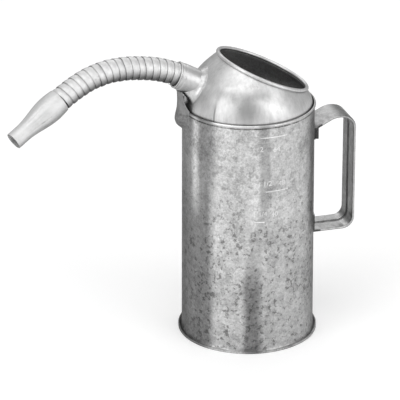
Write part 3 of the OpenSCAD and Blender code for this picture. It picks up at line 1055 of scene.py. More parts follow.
@dataclass
class Hood:
    """The oblique hood: a skirt inside the rim and a dome up to the tilted mouth."""

    radius: float = 53.9 * MM
    skirt_r: float = 54.8 * MM
    skirt_z: float = 191.5 * MM
    # radius of each ring of the skirt and its rise over the skirt's edge, in millimetres
    skirt_rings: tuple = ((54.7, 4.0), (54.2, 7.0), (53.9, 9.5), (53.9, 12.5))
    shoulder_z: float = 204.0 * MM
    mouth_r: float = 40.4 * MM
    mouth_x: float = 11.5 * MM
    mouth_z: float = 232.2 * MM
    mouth_edge: float = 1.2 * MM
    tilt: float = math.radians(23.8)
    fullness: float = 0.55
    sides: int = 180
    rows: int = 26
    lap_at: float = -140.5
    lap_over: float = 46.0
    lap: float = 0.45 * MM
    collar_r: float = 11.6 * MM
    hole_sides: int = 96
    hole_deep: float = 40 * MM
    look_from: float = 5 * MM
    crisp: float = 30.0

    def share(self, u: float) -> tuple:
        """The dome's outline at a height.

        Args:
            u: the height's share from shoulder to mouth.

        Returns:
            Its middle and its two half axes.
        """
        lean = math.cos(self.tilt)
        return (u * u * self.mouth_x, (1 - u * u) * self.radius + u * u * self.mouth_r * lean,
                (1 - u * u) * self.radius + u * u * self.mouth_r)

    def lap_out(self, a: float) -> float:
        """How far the overlapping sheet stands out at turn angle a."""
        past = (math.degrees(a) - self.lap_at) % 360
        return self.lap * max(0.0, 1 - past / self.lap_over)

    def dome(self, before: float, u: float) -> Place:
        """Leads the points of one ring of the dome to the next.

        Args:
            before: the ring's share from shoulder to mouth.
            u: the next ring's share.

        Returns:
            The rule for its points.
        """
        old_x, old_a, old_b = self.share(before)
        mid_x, half_a, half_b = self.share(u)

        def rule(p: Vector) -> Vector:
            """Gives the point of the same turn angle on the next ring.

            Args:
                p: a point of the ring.

            Returns:
                Its new place.
            """
            a = math.atan2(p.y / old_b, (p.x - old_x) / old_a)
            foot = self.shoulder_z
            top = self.mouth_z - self.mouth_r * math.cos(a) * math.sin(self.tilt)
            belly = foot + self.fullness * (top - foot)
            z = (1 - u) ** 2 * foot + 2 * u * (1 - u) * belly + u * u * top
            out = 1 + self.lap_out(a) * (1 - u) / self.radius
            return Vector((mid_x + half_a * out * math.cos(a), half_b * out * math.sin(a), z))

        return rule

    def skirt(self, radius: float, z: float) -> Place:
        """Where a point goes on a round ring of the skirt."""
        return lambda p: polar(radius + self.lap_out(turn_of(p)), turn_of(p), z)

    def hole(self) -> Piece:
        """Makes the round bar that cuts the collar's hole.

        Returns:
            The bar.
        """
        cutter = Bench.start("collar_hole", bpy.ops.mesh.primitive_cylinder_add, vertices=self.hole_sides,
                             radius=self.collar_r + CAN.seat, depth=self.hole_deep)
        cutter.matrix_world = LINE.collar() @ Matrix.Translation((0, 0, -self.hole_deep / 2))
        Bench.settle(cutter)
        return cutter

    def build(self) -> Piece:
        """Models the hood with its opening for the collar.

        Returns:
            The hood, a closed sheet.
        """
        hood = Bench.start("hood", bpy.ops.mesh.primitive_circle_add, vertices=self.sides,
                           radius=self.skirt_r, location=(0, 0, self.skirt_z))
        with Bench.editing(hood, "EDGE"):
            for radius, rise in self.skirt_rings:
                Bench.raise_ring(hood, self.skirt(radius * MM, self.skirt_z + rise * MM))
            for i in range(self.rows):
                Bench.raise_ring(hood, self.dome(i / self.rows, (i + 1) / self.rows))
            # the sheet runs on into the rolled edge of the mouth
            edge = Vector((math.sin(self.tilt), 0, math.cos(self.tilt))) * self.mouth_edge
            Bench.raise_ring(hood, lambda p: p + edge)
        Bench.face_away(hood, lambda p: Vector((0, 0, p.z - self.look_from)))
        dress(hood, Finishes.hood, Finishes.inner)
        Bench.thicken(hood, CAN.sheet, inside=1)
        cutter = self.hole()
        Bench.modifier(hood, "BOOLEAN", operation="DIFFERENCE", solver="EXACT", object=cutter)
        bpy.data.objects.remove(cutter)
        Bench.smooth(hood, self.crisp)
        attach(hood, "can")
        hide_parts("hood_shell")
        return hood


@dataclass
class SpoutCollar:
    """The tube through the hood, drawn in a little and closed over the hose's end."""

    radius: float = 11.6 * MM
    sheet: float = 0.45 * MM
    sides: int = 120
    slant: float = 1.6 * MM
    slant_from: float = -13 * MM
    look_from: float = -6 * MM
    # place along the spout and radius of each ring, in millimetres
    rings: tuple = ((-24.9, 11.6), (-18.0, 11.6), (-12.0, 11.6), (-9.4, 11.6), (-8.9, 11.57),
                    (-8.65, 11.42), (-8.3, 11.36), (-7.6, 11.42), (-6.6, 11.38), (-5.6, 11.28),
                    (-5.35, 11.12), (-5.1, 11.1), (-4.9, 11.3), (-4.6, 11.42), (-4.2, 11.42),
                    (-3.9, 11.28), (-3.75, 11.0), (-3.7, 10.6), (-3.75, 10.15))

    def ring(self, s: float, r: float) -> Place:
        """Where a ring of the collar goes: at s along the spout, and slanted towards its end."""
        slant = self.slant * held(1 - s / self.slant_from)
        return lambda p: polar(r, turn_of(p), s + slant * math.cos(turn_of(p)))

    def build(self) -> Piece:
        """Models the collar.

        Returns:
            The collar.
        """
        collar = Bench.start("collar_tube", bpy.ops.mesh.primitive_circle_add, vertices=self.sides,
                             radius=self.radius, location=(0, 0, self.rings[0][0] * MM))
        with Bench.editing(collar, "EDGE"):
            for s, r in self.rings[1:]:
                Bench.raise_ring(collar, self.ring(s * MM, r * MM))
        Bench.face_away(collar, lambda p: Vector((0, 0, min(p.z, self.look_from))))
        Bench.thicken(collar, self.sheet)
        collar.data.transform(LINE.collar())
        Bench.smooth(collar)
        dress(collar, Finishes.tube)
        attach(collar, "can")
        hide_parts("spout_collar", "hose_socket")
        return collar


@dataclass
class SolderRing:
    """The soldered joint of collar and hood: a soft fillet with an uneven edge."""

    collar_r: float = 11.6 * MM
    reach: float = 3.9 * MM
    height: float = 2.5 * MM
    around: int = 120
    across: int = 20
    # most of the solder has run down under the collar, about this turn angle in radians
    run_at: float = 3.4
    run_sharp: float = 2.5
    run_out: float = 0.6
    run_up: float = 2.6
    # turns round the ring and strength of each wave of the uneven edge, and how far its phase follows
    waves: tuple = ((2, 0.5, 1.0), (5, 0.3, 2.1), (9, 0.2, 1.0))
    uneven_out: float = 0.22
    uneven_up: float = 0.3
    phase_out: float = 0.7
    phase_up: float = 2.4
    curl: float = 2.2
    edge: float = 0.34 * MM
    edge_sharp: int = 6
    root_off: float = 0.15 * MM
    sunk: float = 0.07 * MM
    look_from: float = 12 * MM
    look_far: float = 60 * MM
    start_r: float = 13.6 * MM
    start_thick: float = 1.5 * MM
    crisp: float = 60.0

    def uneven(self, a: float, phase: float) -> float:
        """A wandering number about 0, the same each run."""
        return sum(strength * math.sin(turns * a + follow * phase) for turns, strength, follow in self.waves)

    def row(self, a: float, on_hood: Callable[[float, float], Vector], collar: Matrix) -> Iterator[Vector]:
        """The points of one cross-section of the fillet.

        Args:
            a: its turn angle about the collar.
            on_hood: gives the hood's outer face at a radius and a turn angle about the collar.
            collar: the collar's place.

        Yields:
            The points, over the fillet and back under it.
        """
        out = (collar.to_3x3() @ Vector((0, 0, 1))).normalized()
        inner, half = self.collar_r + CAN.seat, self.across // 2
        run = max(0.0, math.cos(a - self.run_at)) ** self.run_sharp
        wide = self.reach * (1 + self.uneven_out * self.uneven(a, self.phase_out) + self.run_out * run)
        high = self.height * (1 + self.uneven_up * self.uneven(a, self.phase_up) + self.run_up * run)
        for j in range(self.across):
            top = j < half
            t = j / (half - 1) if top else (self.across - 1 - j) / (half - 1)
            place = on_hood(max(inner + wide * t, inner + self.root_off), a)
            if top:
                # a fillet curls down from the collar to a rounded edge on the hood
                rounded = self.edge * math.sqrt(max(0.0, 1 - t ** self.edge_sharp))
                place = place + out * (high * (1 - t) ** self.curl + rounded)
            if t == 0:
                flat = collar.inverted() @ place
                place = collar @ polar(inner, a, flat.z)
            yield place

    def build(self, hood: Piece) -> Piece:
        """Lays the ring on the hood.

        Args:
            hood: the finished hood.

        Returns:
            The ring of solder.
        """
        collar = LINE.collar()
        back = (collar.to_3x3() @ Vector((0, 0, -1))).normalized()
        tree = BVHTree.FromPolygons([v.co.copy() for v in hood.data.vertices],
                                    [tuple(f.vertices) for f in hood.data.polygons])

        def on_hood(radius: float, a: float) -> Vector:
            """Looks for the hood's outer face along the collar.

            Args:
                radius: how far from the collar's axis.
                a: the turn angle about it.

            Returns:
                A place just under the face.
            """
            start = collar @ polar(radius, a, self.look_from)
            hit = tree.ray_cast(start, back, self.look_far)[0]
            return hit - back * self.sunk if hit is not None else start + back * self.look_far / 2

        ring = Bench.start("spout_solder", bpy.ops.mesh.primitive_torus_add, major_segments=self.around,
                           minor_segments=self.across, major_radius=self.start_r,
                           minor_radius=self.start_thick)
        with Bench.editing(ring):
            mesh = bmesh.from_edit_mesh(ring.data)
            mesh.verts.ensure_lookup_table()
            for i in range(self.around):
                for j, place in enumerate(self.row(ROUND * i / self.around, on_hood, collar)):
                    mesh.verts[i * self.across + j].co = place
            bmesh.update_edit_mesh(ring.data)
        Bench.outward(ring)
        Bench.smooth(ring, self.crisp)
        dress(ring, Finishes.tin)
        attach(ring, "can")
        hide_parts("spout_flange")
        return ring


# Pouring lip


@dataclass
class Lip:
    """The raised beak over the notch in the rim, with its curled edge."""

    out: float = 8.4 * MM
    half_w: float = 11.3 * MM
    drop: float = 19.5 * MM
    rise: float = 16.2 * MM
    sunk: float = 0.15 * MM
    thin: float = 0.9
    across: int = 48
    along: int = 60
    # rise over the lip's foot in millimetres, and shares of how far out and of how wide it is there
    below: tuple = ((0.0, 0.0, 0.34), (3.0, 0.42, 0.62), (6.5, 0.83, 0.9), (11.0, 1.0, 1.0),
                    (15.5, 0.94, 1.0))
    # share of the rise over the rim, how far the edge stands off in millimetres, and the same two shares
    above: tuple = ((0.0, 0.1, 0.83, 0.96), (0.12, 1.2, 0.79, 0.82), (0.3, 2.4, 0.76, 0.69),
                    (0.58, 3.4, 0.74, 0.6), (1.0, 4.3, 0.77, 0.52))
    swell_sharp: float = 0.8
    curl_r: float = 0.6 * MM
    curl_low: float = 0.54
    curl_up: int = 26
    curl_over: int = 18
    curl_thin: float = 0.35
    curl_fade: int = 9
    curl_in: float = 0.4
    curl_steps: int = 4
    crisp: float = 45.0

    def rows(self) -> list:
        """Lists the lip's rows from low to high.

        Returns:
            Height, how far edge and middle stand off the wall, and half the width.
        """
        found = [(CAN.height - self.drop + up * MM, -self.sunk, self.out * out if out else -self.sunk,
                  self.half_w * wide) for up, out, wide in self.below]
        return found + [(CAN.height + self.rise * up, edge * MM, self.out * out, self.half_w * wide)
                        for up, edge, out, wide in self.above]

    def row(self, v: float) -> list:
        """Finds a row on a smooth line through the listed ones.

        Args:
            v: its share of the way up.

        Returns:
            The row's four measures.
        """
        rows = self.rows()
        at = v * (len(rows) - 1)
        i = min(int(at), len(rows) - 2)
        t = at - i
        pick = [rows[max(0, min(len(rows) - 1, k))] for k in (i - 1, i, i + 1, i + 2)]
        return [0.5 * (2 * b + (c - a) * t + (2 * a - 5 * b + 4 * c - d) * t * t
                       + (3 * b - a - 3 * c + d) * t ** 3) for a, b, c, d in zip(*pick)]

    def place(self, u: float, v: float, sink: float = 0.0) -> Vector:
        """Finds a point of the lip's outer face.

        Args:
            u: its share across.
            v: its share of the way up.
            sink: how far below the face it lies.

        Returns:
            The point.
        """
        z, edge, middle, half = self.row(v)
        across = 2 * u - 1
        y = half * across
        # a pressed beak: it leaves the wall without a step and is roundest in the middle
        swell = (0.5 + 0.5 * math.cos(math.pi * across)) ** self.swell_sharp
        r = CAN.wall_r(min(z, CAN.height))
        x = math.sqrt(r * r - y * y) + CAN.seat + edge + (middle - edge) * swell - sink
        return Vector((-x, y, z))

    def build(self) -> Piece:
        """Models the lip's sheet and its curled edge.

        Returns:
            The lip.
        """
        lip = Bench.start("lip", bpy.ops.mesh.primitive_grid_add, x_subdivisions=self.across,
                          y_subdivisions=self.along, size=1.0)
        with Bench.editing(lip):
            Bench.put(lip, lambda p: self.place(p.x + 0.5, p.y + 0.5))
        Bench.face_away(lip)
        # the inner face takes the painted shade finish
        dress(lip, Finishes.wall, Finishes.shade)
        Bench.thicken(lip, CAN.sheet * self.thin, inside=1)
        Bench.join([lip, self.curl()])
        Bench.smooth(lip, self.crisp)
        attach(lip, "can")
        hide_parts("pouring_lip")
        return lip

    def curl(self) -> Piece:
        """Models the curled edge, up one side of the free lip, over its tip and down the other.

        Returns:
            The curled edge.
        """
        side = [self.curl_low + (1 - self.curl_low) * k / self.curl_up for k in range(self.curl_up + 1)]
        steps = [(0.0, v) for v in side] + [(k / self.curl_over, 1.0) for k in range(1, self.curl_over)]
        steps += [(1.0, v) for v in reversed(side)]
        path = [self.place(u, v, CAN.sheet * self.curl_in) for u, v in steps]
        curve = Bench.start("lip_curl", bpy.ops.curve.primitive_nurbs_path_add)
        curve.data.splines.clear()
        line = curve.data.splines.new("POLY")
        line.points.add(len(path) - 1)
        for k, (point, at) in enumerate(zip(line.points, path)):
            from_end = min(k, len(path) - 1 - k)
            point.co = (at.x, at.y, at.z, 1.0)
            point.radius = min(1.0, self.curl_thin + (1 - self.curl_thin) * from_end / self.curl_fade)
        curve.data.bevel_depth = self.curl_r
        curve.data.bevel_resolution = self.curl_steps
        curve.data.use_fill_caps = True
        # the curled edge takes the painted shade finish
        return dress(Bench.meshed(curve, "lip_curl"), Finishes.shade)


# Hose and nozzle


@dataclass
class HoseTurns:
    """The wound strip of the hose, one turn for each moving body."""

    pitch: float = 6 * MM
    steps: int = 84
    sheet: float = 0.25 * MM
    # each turn tucks under the one before it and rises to a free edge over the next one:
    # place along the hose and radius, in millimetres, and where along it the hinge point is
    crown: tuple = ((-4.2, 8.88), (-3.7, 9.0), (-3.2, 9.16), (-2.6, 9.28), (-1.9, 9.4), (-1.2, 9.57),
                    (-0.6, 9.72), (0.0, 9.84), (0.6, 9.89), (1.3, 9.9), (2.0, 9.9), (2.6, 9.89),
                    (2.85, 9.88), (3.0, 9.84))
    hinge: float = 3.0
    seam: float = 0.16 * MM
    groove_r: float = 9.45 * MM
    groove_deep: float = 0.4 * MM
    side_swing: float = 13.2
    # over this turn from the start, in radians, the slant runs out
    slant_over: float = 0.5
    # the tucked edge near the start of the strip swings furthest, and is drawn in for it
    drawn_from: float = -4.8 * MM
    drawn_by: float = 0.19
    # plain ends inside the collar and under the nozzle
    sleeve_r: float = 9.45 * MM
    sleeve_sides: int = 96
    sleeve_long: float = 4.5 * MM
    sleeve_at: float = -4.25 * MM
    sleeve_dirt: float = 0.5
    first_cut: float = -3.0 * MM
    last_cut: float = 3.6 * MM
    end_r: float = 9.4 * MM
    end_from: float = 1.6 * MM
    end_over: float = 1 * MM

    def strip(self) -> Piece:
        """Models one turn of strip along +Z, from the underside round to the underside.

        Returns:
            The turn, with how deep each place lies kept as an attribute.
        """

        def at(s: float, r: float) -> Place:
            """A place of the strip's cross-section, at the underside."""
            return lambda p: Vector((-r * MM, 0, (s - self.hinge) * MM))

        strip = Bench.start("strip", bpy.ops.mesh.primitive_plane_add, size=1 * MM)
        with Bench.editing(strip):
            bpy.ops.mesh.merge(type="CENTER")
            Bench.put(strip, at(*self.crown[0]))
            for s, r in self.crown[1:]:
                bpy.ops.mesh.extrude_vertices_move()
                Bench.put(strip, at(s, r))
        once = 1 - self.seam / (ROUND * self.crown[0][1] * MM)
        Bench.modifier(strip, "SCREW", axis="Z", angle=ROUND * once, screw_offset=self.pitch * once,
                       steps=self.steps, render_steps=self.steps, use_smooth_shade=True)
        Bench.face_away(strip)
        Bench.thicken(strip, self.sheet)
        # how deep a place lies sets its grime, with painted shade below and painted light above
        Bench.grooved(strip, lambda p: held((self.groove_r - math.hypot(p.x, p.y)) / self.groove_deep))
        with Bench.editing(strip, whole=False):
            Bench.pick(strip, lambda p: p.z < self.drawn_from)
            Bench.put(strip, lambda p: self.drawn(p, self.drawn_by * (self.drawn_from - p.z)))
        return strip

    def cut_back(self, p: Vector) -> Vector:
        """Moves a point near the strip's start round, so that the start slants by the side swing.

        Args:
            p: the point.

        Returns:
            Its new place.
        """
        radius = math.hypot(p.x, p.y)
        turned = (turn_of(p) + math.pi) % ROUND
        if turned > self.slant_over:
            return p.copy()
        slant = -p.z * math.tan(math.radians(self.side_swing)) / radius
        return polar(radius, turned + (1 - turned / self.slant_over) * slant - math.pi, p.z)

    def run_in(self, p: Vector) -> Vector:
        """A point of the last turn, which runs in under the nozzle."""
        over = max(0.0, math.hypot(p.x, p.y) - self.end_r)
        return self.drawn(p, min(1.0, (p.z - self.end_from) / self.end_over) * over)

    @staticmethod
    def drawn(p: Vector, by: float) -> Vector:
        """A point drawn in towards the hose's axis."""
        share = 1 - by / math.hypot(p.x, p.y)
        return Vector((p.x * share, p.y * share, p.z))

    def sleeve(self) -> Piece:
        """Models the short plain end of the hose, inside the collar.

        Returns:
            The sleeve.
        """
        sleeve = Bench.start("hose_end", bpy.ops.mesh.primitive_cylinder_add, vertices=self.sleeve_sides,
                             radius=self.sleeve_r, depth=self.sleeve_long, end_fill_type="NOTHING",
                             location=(0, 0, self.sleeve_at))
        Bench.face_away(sleeve)
        Bench.thicken(sleeve, self.sheet)
        # the sleeve lies half deep: grime with painted shade below and painted light above
        Bench.grooved(sleeve, lambda p: self.sleeve_dirt)
        return sleeve

    def trim(self, turn: Piece, z: float, keep_above: bool) -> None:
        """Cuts an end turn square where it meets the collar or the nozzle.

        Args:
            turn: the turn.
            z: where the cut is.
            keep_above: keeps the part above it, or else the part below.
        """
        with Bench.editing(turn):
            bpy.ops.mesh.bisect(plane_co=(0, 0, z), plane_no=(0, 0, 1), use_fill=True,
                                clear_inner=keep_above, clear_outer=not keep_above)

    def build(self) -> list:
        """Makes the eighteen turns, each on its own body.

        Returns:
            The turns.
        """
        model = self.strip()
        stations = LINE.stations()[:-1]
        turns = []
        for i, station in enumerate(stations):
            turn = model.copy()
            turn.data = model.data.copy()
            Bench.named(turn, f"strip_{i + 1:02d}")
            bpy.context.scene.collection.objects.link(turn)
            if i in LINE.side_points:
                # a turn that swings sideways has its start cut back, so that it clears the end before it
                with Bench.editing(turn, whole=False):
                    Bench.pick(turn, lambda p: p.z < 0)
                    Bench.put(turn, self.cut_back)
            if i == 0:
                self.trim(turn, self.first_cut, True)
                Bench.join([turn, self.sleeve()])
            if i == len(stations) - 1:
                self.trim(turn, self.last_cut, False)
                with Bench.editing(turn, whole=False):
                    Bench.pick(turn, lambda p: p.z > self.end_from)
                    Bench.put(turn, self.run_in)
            turn.data.transform(station)
            Bench.smooth(turn)
            dress(turn, Finishes.hose)
            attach(turn, f"turn_{i + 1:02d}")
            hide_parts(f"hose_turn_{i + 1:02d}")
            turns.append(turn)
        bpy.data.objects.remove(model)
        return turns


@dataclass
class Nozzle:
    """The swelled and creased end of the spout."""

    start: float = -3.3 * MM
    length: float = 48 * MM
    root_r: float = 10.45 * MM
    bulge_r: float = 11.2 * MM
    bulge_at: float = 7.5 * MM
    tip_r: float = 7.4 * MM
    tip_at: float = 39 * MM
    sheet: float = 0.5 * MM
    sides: int = 144
    rows: int = 54
    creases: int = 12
    crease: float = 0.24 * MM
    crease_wide: float = 0.2
    crease_sharp: float = 1.3
    crease_early: float = 1.02
    fade_sharp: float = 0.8
    crease_dirt: float = 0.45

    def radius(self, s: float) -> float:
        """Finds the outer radius.

        Args:
            s: the distance from the last hinge point.

        Returns:
            The radius.
        """
        if s < self.bulge_at:
            share = (s - self.start) / (self.bulge_at - self.start)
            return self.root_r + (self.bulge_r - self.root_r) * math.sin(math.pi / 2 * share)
        if s < self.tip_at:
            share = (s - self.bulge_at) / (self.tip_at - self.bulge_at)
            return self.tip_r + (self.bulge_r - self.tip_r) * (1 + math.cos(math.pi * share)) / 2
        return self.tip_r

    def dent(self, s: float, a: float) -> float:
        """Finds how deep the creases are.

        Args:
            s: the distance from the last hinge point.
            a: the turn angle.

        Returns:
            A depth from 0 to 1.
        """
        share = (s - self.bulge_at) / (self.tip_at - self.bulge_at)
        if not 0 < share < 1:
            return 0.0
        fade = max(0.0, math.sin(math.pi * min(1.0, share * self.crease_early))) ** self.fade_sharp
        step = ROUND / self.creases
        off = abs((a + step / 2) % step - step / 2) / step
        return fade * max(0.0, 1 - off / self.crease_wide) ** self.crease_sharp

    def ring(self, s: float) -> Place:
        """Where the points of a ring go at distance s."""
        return lambda p: polar(self.radius(s) - self.crease * self.dent(s, turn_of(p)), turn_of(p), s)

    def build(self) -> Piece:
        """Models the nozzle.

        Returns:
            The nozzle.
        """
        nozzle = Bench.start("nozzle_shell", bpy.ops.mesh.primitive_circle_add, vertices=self.sides,
                             radius=self.root_r, location=(0, 0, self.start))
        with Bench.editing(nozzle, "EDGE"):
            for k in range(1, self.rows + 1):
                Bench.raise_ring(nozzle, self.ring(self.start + (self.length - self.start) * k / self.rows))
        Bench.face_away(nozzle)
        dress(nozzle, Finishes.nozzle, Finishes.inner)
        # the creases take grime with painted shade that grows towards the underside
        Bench.grooved(nozzle, lambda p: self.crease_dirt * self.dent(p.z, turn_of(p)))
        Bench.thicken(nozzle, self.sheet, inside=1)
        nozzle.data.transform(LINE.stations()[-1])
        Bench.smooth(nozzle)
        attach(nozzle, "nozzle")
        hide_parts("nozzle_cone")
        return nozzle


# Small things on the wall


def on_wall(middle: float, z: float) -> Place:
    """Lays a flat shape on the wall.

    Args:
        middle: the turn angle of its middle, in degrees.
        z: the height of its middle.

    Returns:
        A rule that takes X round the wall, Y up and Z outwards.
    """

    def rule(p: Vector) -> Vector:
        """The place on the wall."""
        height = z + p.y
        return polar(CAN.wall_r(height) + p.z, math.radians(middle) + p.x / CAN.rim_wall_r, height)

    return rule


@dataclass
class Marks:
    """Raised measuring lines and plain numbers on the wall."""

    # height in millimetres, and the turn angles of both ends
    lines: tuple = ((194.9, -97.0, -72.0), (146.7, -92.0, -71.0), (119.6, -102.0, -93.0))
    # figures, turn angle, and height and size in millimetres
    numbers: tuple = (("2", -96.0, 185.0, 6.5), ("64", -82.5, 184.0, 6.5), ("1 1/2", -93.0, 154.0, 6.0),
                      ("48", -77.5, 153.0, 6.0), ("1 1/4", -97.0, 127.0, 6.0), ("40", -84.0, 126.0, 6.0))
    relief: float = 0.42 * MM
    sunk: float = 0.03 * MM
    line_wide: float = 1.1 * MM
    line_across: int = 40
    line_up: int = 6
    end_sharp: int = 10
    number_thick: float = 0.2 * MM
    number_round: float = 0.08 * MM
    crisp: float = 50.0

    def line(self, z: float, start: float, end: float) -> Piece:
        """Models one raised measuring line.

        Args:
            z: its height in millimetres.
            start: the turn angle where it starts, in degrees.
            end: the turn angle where it ends.

        Returns:
            The line.
        """
        length = math.radians(end - start) * CAN.rim_wall_r
        mark = Bench.start("mark", bpy.ops.mesh.primitive_grid_add, x_subdivisions=self.line_across,
                           y_subdivisions=self.line_up, size=1.0)
        with Bench.editing(mark):
            Bench.put(mark, lambda p: Vector((p.x * length, p.y * self.line_wide, self.hump(p.x, p.y))))
            Bench.put(mark, on_wall((start + end) / 2, z * MM))
        return mark

    def hump(self, across: float, up: float) -> float:
        """Height of a raised line over the wall, sunk into it at its edges."""
        high = math.cos(math.pi * up) * (1 - (2 * abs(across)) ** self.end_sharp)
        return self.relief * high - self.sunk * (1 - high)

    def number(self, figures: str, middle: float, z: float, size: float) -> Piece:
        """Models one raised number.

        Args:
            figures: what it says.
            middle: the turn angle of its middle, in degrees.
            z: the height of its middle in millimetres.
            size: its size in millimetres.

        Returns:
            The number.
        """
        text = Bench.start("number", bpy.ops.object.text_add)
        text.data.body = figures
        text.data.size = size * MM
        text.data.align_x = text.data.align_y = "CENTER"
        text.data.extrude = self.number_thick
        text.data.bevel_depth = self.number_round
        mark = Bench.meshed(text, "number")
        with Bench.editing(mark):
            Bench.put(mark, on_wall(middle, z * MM))
        return mark

    def build(self) -> Piece:
        """Makes every line and number as one piece.

        Returns:
            The marks.
        """
        pieces = [self.line(*line) for line in self.lines]
        pieces += [self.number(*number) for number in self.numbers]
        marks = Bench.join(pieces)
        marks.name = "marks"
        Bench.smooth(marks, self.crisp)
        dress(marks, Finishes.mark)
        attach(marks, "can")
        return marks


@dataclass
class HandleFeet:
    """What holds the strap's two feet: the turned-under end of the upper one, and two spot welds on each."""

    fold_w: float = 27.4 * MM
    fold_h: float = 10.4 * MM
    fold_z: float = 176.3 * MM
    fold_in: float = 1.2 * MM
    fold_t: float = 2.6 * MM
    fold_across: int = 32
    fold_up: int = 4
    fold_round: float = 0.5 * MM
    fold_steps: int = 3
    weld_turns: tuple = (-8.0, 8.0)
    # height of each foot's welds and how far off the wall they stand
    weld_rows: tuple = ((92.0 * MM, 1.3 * MM), (176.4 * MM, 3.8 * MM))
    weld_r: float = 2.3 * MM
    weld_t: float = 0.5 * MM
    weld_sides: int = 32
    # width and height of the weld's rim and of its hollow
    weld_steps: tuple = ((0.7 * MM, 0.12 * MM), (0.5 * MM, -0.22 * MM))

    def fold(self) -> Piece:
        """The upper foot's turned-under end, which stands off the wall more than the plate under it.

        Returns:
            The turned end.
        """
        foot = Bench.start("foot_fold", bpy.ops.mesh.primitive_grid_add, x_subdivisions=self.fold_across,
                           y_subdivisions=self.fold_up, size=1.0)
        with Bench.editing(foot):
            Bench.put(foot, lambda p: Vector((p.x * self.fold_w, p.y * self.fold_h, self.fold_in)))
            Bench.put(foot, on_wall(0.0, self.fold_z))
        Bench.face_away(foot)
        Bench.thicken(foot, self.fold_t, offset=1.0)
        Bench.modifier(foot, "BEVEL", width=self.fold_round, segments=self.fold_steps,
                       limit_method="ANGLE")
        Bench.smooth(foot)
        dress(foot, Finishes.strap)
        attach(foot, "can")
        return foot

    def weld(self, turn: float, z: float, off: float) -> Piece:
        """Models one spot weld, a shallow round dimple with a raised rim.

        Args:
            turn: its turn angle in degrees.
            z: its height.
            off: how far off the wall it stands.

        Returns:
            The weld.
        """
        weld = Bench.start("weld", bpy.ops.mesh.primitive_cylinder_add, vertices=self.weld_sides,
                           radius=self.weld_r, depth=self.weld_t)
        with Bench.editing(weld, "FACE", whole=False):
            Bench.pick(weld, lambda p: p.z > 0)
            for width, rise in self.weld_steps:
                bpy.ops.mesh.inset(thickness=width, depth=rise)
        out = polar(1.0, math.radians(turn), 0.0)
        look = out.to_track_quat("Z", "Y").to_matrix().to_4x4()
        weld.matrix_world = Matrix.Translation(out * (CAN.wall_r(z) + off) + Vector((0, 0, z))) @ look
        Bench.settle(weld)
        return weld

    def welds(self) -> Piece:
        """Makes the welds of both feet as one piece.

        Returns:
            The welds.
        """
        welds = Bench.join([self.weld(turn, *row) for turn in self.weld_turns for row in self.weld_rows])
        welds.name = "welds"
        Bench.outward(welds)
        Bench.smooth(welds)
        dress(welds, Finishes.strap)
        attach(welds, "can")
        return welds


# Studio


@dataclass(frozen=True)
class Lamp:
    """A soft rectangular lamp by its direction from the can."""

    name: str
    azimuth: float
    elevation: float
    distance: float
    width: float
    height: float
    power: float

    def place(self, target: Vector) -> None:
        """Puts the lamp in place.

        Args:
            target: where it looks.
        """
        data = bpy.data.lights.new(self.name, "AREA")
        data.shape = "RECTANGLE"
        data.size, data.size_y = self.width, self.height
        data.energy = self.power
        lamp = bpy.data.objects.new(self.name, data)
        a, e = math.radians(self.azimuth), math.radians(self.elevation)
        out = polar(math.cos(e), a, math.sin(e))
        lamp.location = target + out * self.distance
        lamp.rotation_mode = "QUATERNION"
        lamp.rotation_quaternion = (-out).to_track_quat("-Z", "Y")
        bpy.context.scene.collection.objects.link(lamp)


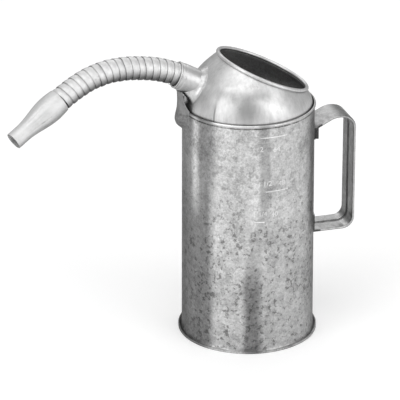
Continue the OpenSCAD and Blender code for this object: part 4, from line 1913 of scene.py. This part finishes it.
@dataclass
class Studio:
    """Floor, lamps, surroundings and camera."""

    target: Vector = field(default_factory=lambda: Vector((0, 0, 98.86 * MM)))
    distance: float = 2471.5 * MM
    heading: float = math.radians(17.5)
    down: float = math.radians(23.827)
    roll: float = math.radians(-0.346)
    focal_px: float = 2903.756
    wide_px: float = 400.0
    off_x: float = 47.779
    off_y: float = 18.505
    sensor: float = 36.0
    sight: float = 60.0
    lamps: tuple = (
        Lamp("front_left", -152.0, 22.0, 2.2, 1.1, 1.7, 10.0),
        Lamp("right", -54.0, 24.0, 2.2, 1.5, 1.7, 14.0),
        Lamp("overhead", -128.0, 66.0, 2.3, 2.5, 1.9, 20.0),
        Lamp("back", 72.0, 40.0, 2.4, 2.6, 1.2, 11.0),
    )
    floor_size: float = 30.0
    floor_under: float = 0.05 * MM
    floor_colour: tuple = grey(0.86)
    floor_rough: float = 0.9
    floor_glow: float = 0.25
    # far from the can, past its shadow, the floor runs into the white behind it
    floor_far: Ramp = Ramp(0.8, 2.4, 0.0, 0.6)
    even: float = 0.45
    white: float = 1.0
    mirrored: float = 0.3

    def camera(self) -> None:
        """Puts the camera at the photograph's angle."""
        h, e = self.heading, self.down
        ahead = Vector((math.cos(e) * math.sin(h), math.cos(e) * math.cos(h), -math.sin(e)))
        right = Vector((math.cos(h), -math.sin(h), 0))
        up = right.cross(ahead)
        at = self.target - ahead * self.distance
        pan, lift = math.atan(self.off_x / self.focal_px), math.atan(self.off_y / self.focal_px)
        c, s = math.cos(pan), math.sin(pan)
        right, ahead = right * c + ahead * s, ahead * c - right * s
        c, s = math.cos(lift), math.sin(lift)
        up, ahead = up * c - ahead * s, up * s + ahead * c
        c, s = math.cos(self.roll), math.sin(self.roll)
        data = bpy.data.cameras.new("camera")
        data.sensor_width = self.sensor
        data.lens = self.focal_px / self.wide_px * self.sensor
        data.clip_end = self.sight
        camera = bpy.data.objects.new("camera", data)
        camera.matrix_world = HoseLine.stand(at, right * c - up * s, right * s + up * c, -ahead)
        bpy.context.scene.collection.objects.link(camera)
        bpy.context.scene.camera = camera

    def floor(self) -> None:
        """A plain pale floor that keeps the can's shadow."""
        floor = Bench.start("floor", bpy.ops.mesh.primitive_plane_add, size=self.floor_size,
                            location=(0, 0, -self.floor_under))
        made = bpy.data.materials.new("pale_floor")
        made.use_nodes = True
        net = Net(made.node_tree)
        ray = net.add("LightPath").outputs
        away = net.length(net.add("NewGeometry").outputs["Position"])
        near = net.times(net.most(ray["Is Camera Ray"], ray["Is Glossy Ray"]), self.floor_glow)
        far = net.times(net.spread(away, self.floor_far), ray["Is Camera Ray"])
        glow = net.add("Emission", {"Color": grey(1.0), "Strength": net.plus(near, far)})
        matt = net.add("BsdfPrincipled", {"Base Color": self.floor_colour, "Roughness": self.floor_rough})
        both = net.add("AddShader", {0: matt.outputs[0], 1: glow.outputs[0]})
        net.add("OutputMaterial", {"Surface": both.outputs[0]})
        floor.data.materials.append(made)

    def surroundings(self) -> None:
        """Plain even light from all round, and white where the camera sees past the floor."""
        world = bpy.data.worlds.new("studio")
        bpy.context.scene.world = world
        world.use_nodes = True
        net = Net(world.node_tree)
        ray = net.add("LightPath").outputs
        seen = net.most(ray["Is Camera Ray"], net.times(ray["Is Glossy Ray"], self.mirrored))
        even, white = (net.add("Background", {"Color": grey(1.0), "Strength": strength}).outputs[0]
                       for strength in (self.even, self.white))
        mixed = net.add("MixShader", {0: seen, 1: even, 2: white})
        net.add("OutputWorld", {"Surface": mixed.outputs[0]})

    def build(self) -> None:
        """Sets up the whole studio."""
        self.camera()
        self.floor()
        self.surroundings()
        for lamp in self.lamps:
            lamp.place(self.target)
        bpy.context.scene.view_settings.view_transform = "Standard"


def main() -> None:
    """Builds the can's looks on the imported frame, one sub-assembly after another."""
    logging.basicConfig(level=logging.INFO, format="%(message)s")
    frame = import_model()
    dress_nodes(frame["nodes"])
    hood = Hood().build()
    pieces = [hood, SpoutCollar().build(), SolderRing().build(hood), Lip().build(), *HoseTurns().build(),
              Nozzle().build(), Marks().build(), HandleFeet().fold(), HandleFeet().welds()]
    for piece in pieces:
        LOG.info("%s: %d faces", piece.name, len(piece.data.polygons))
    Studio().build()
    LOG.info("studio ready")
    Bench.clear()


if __name__ == "__main__":
    main()
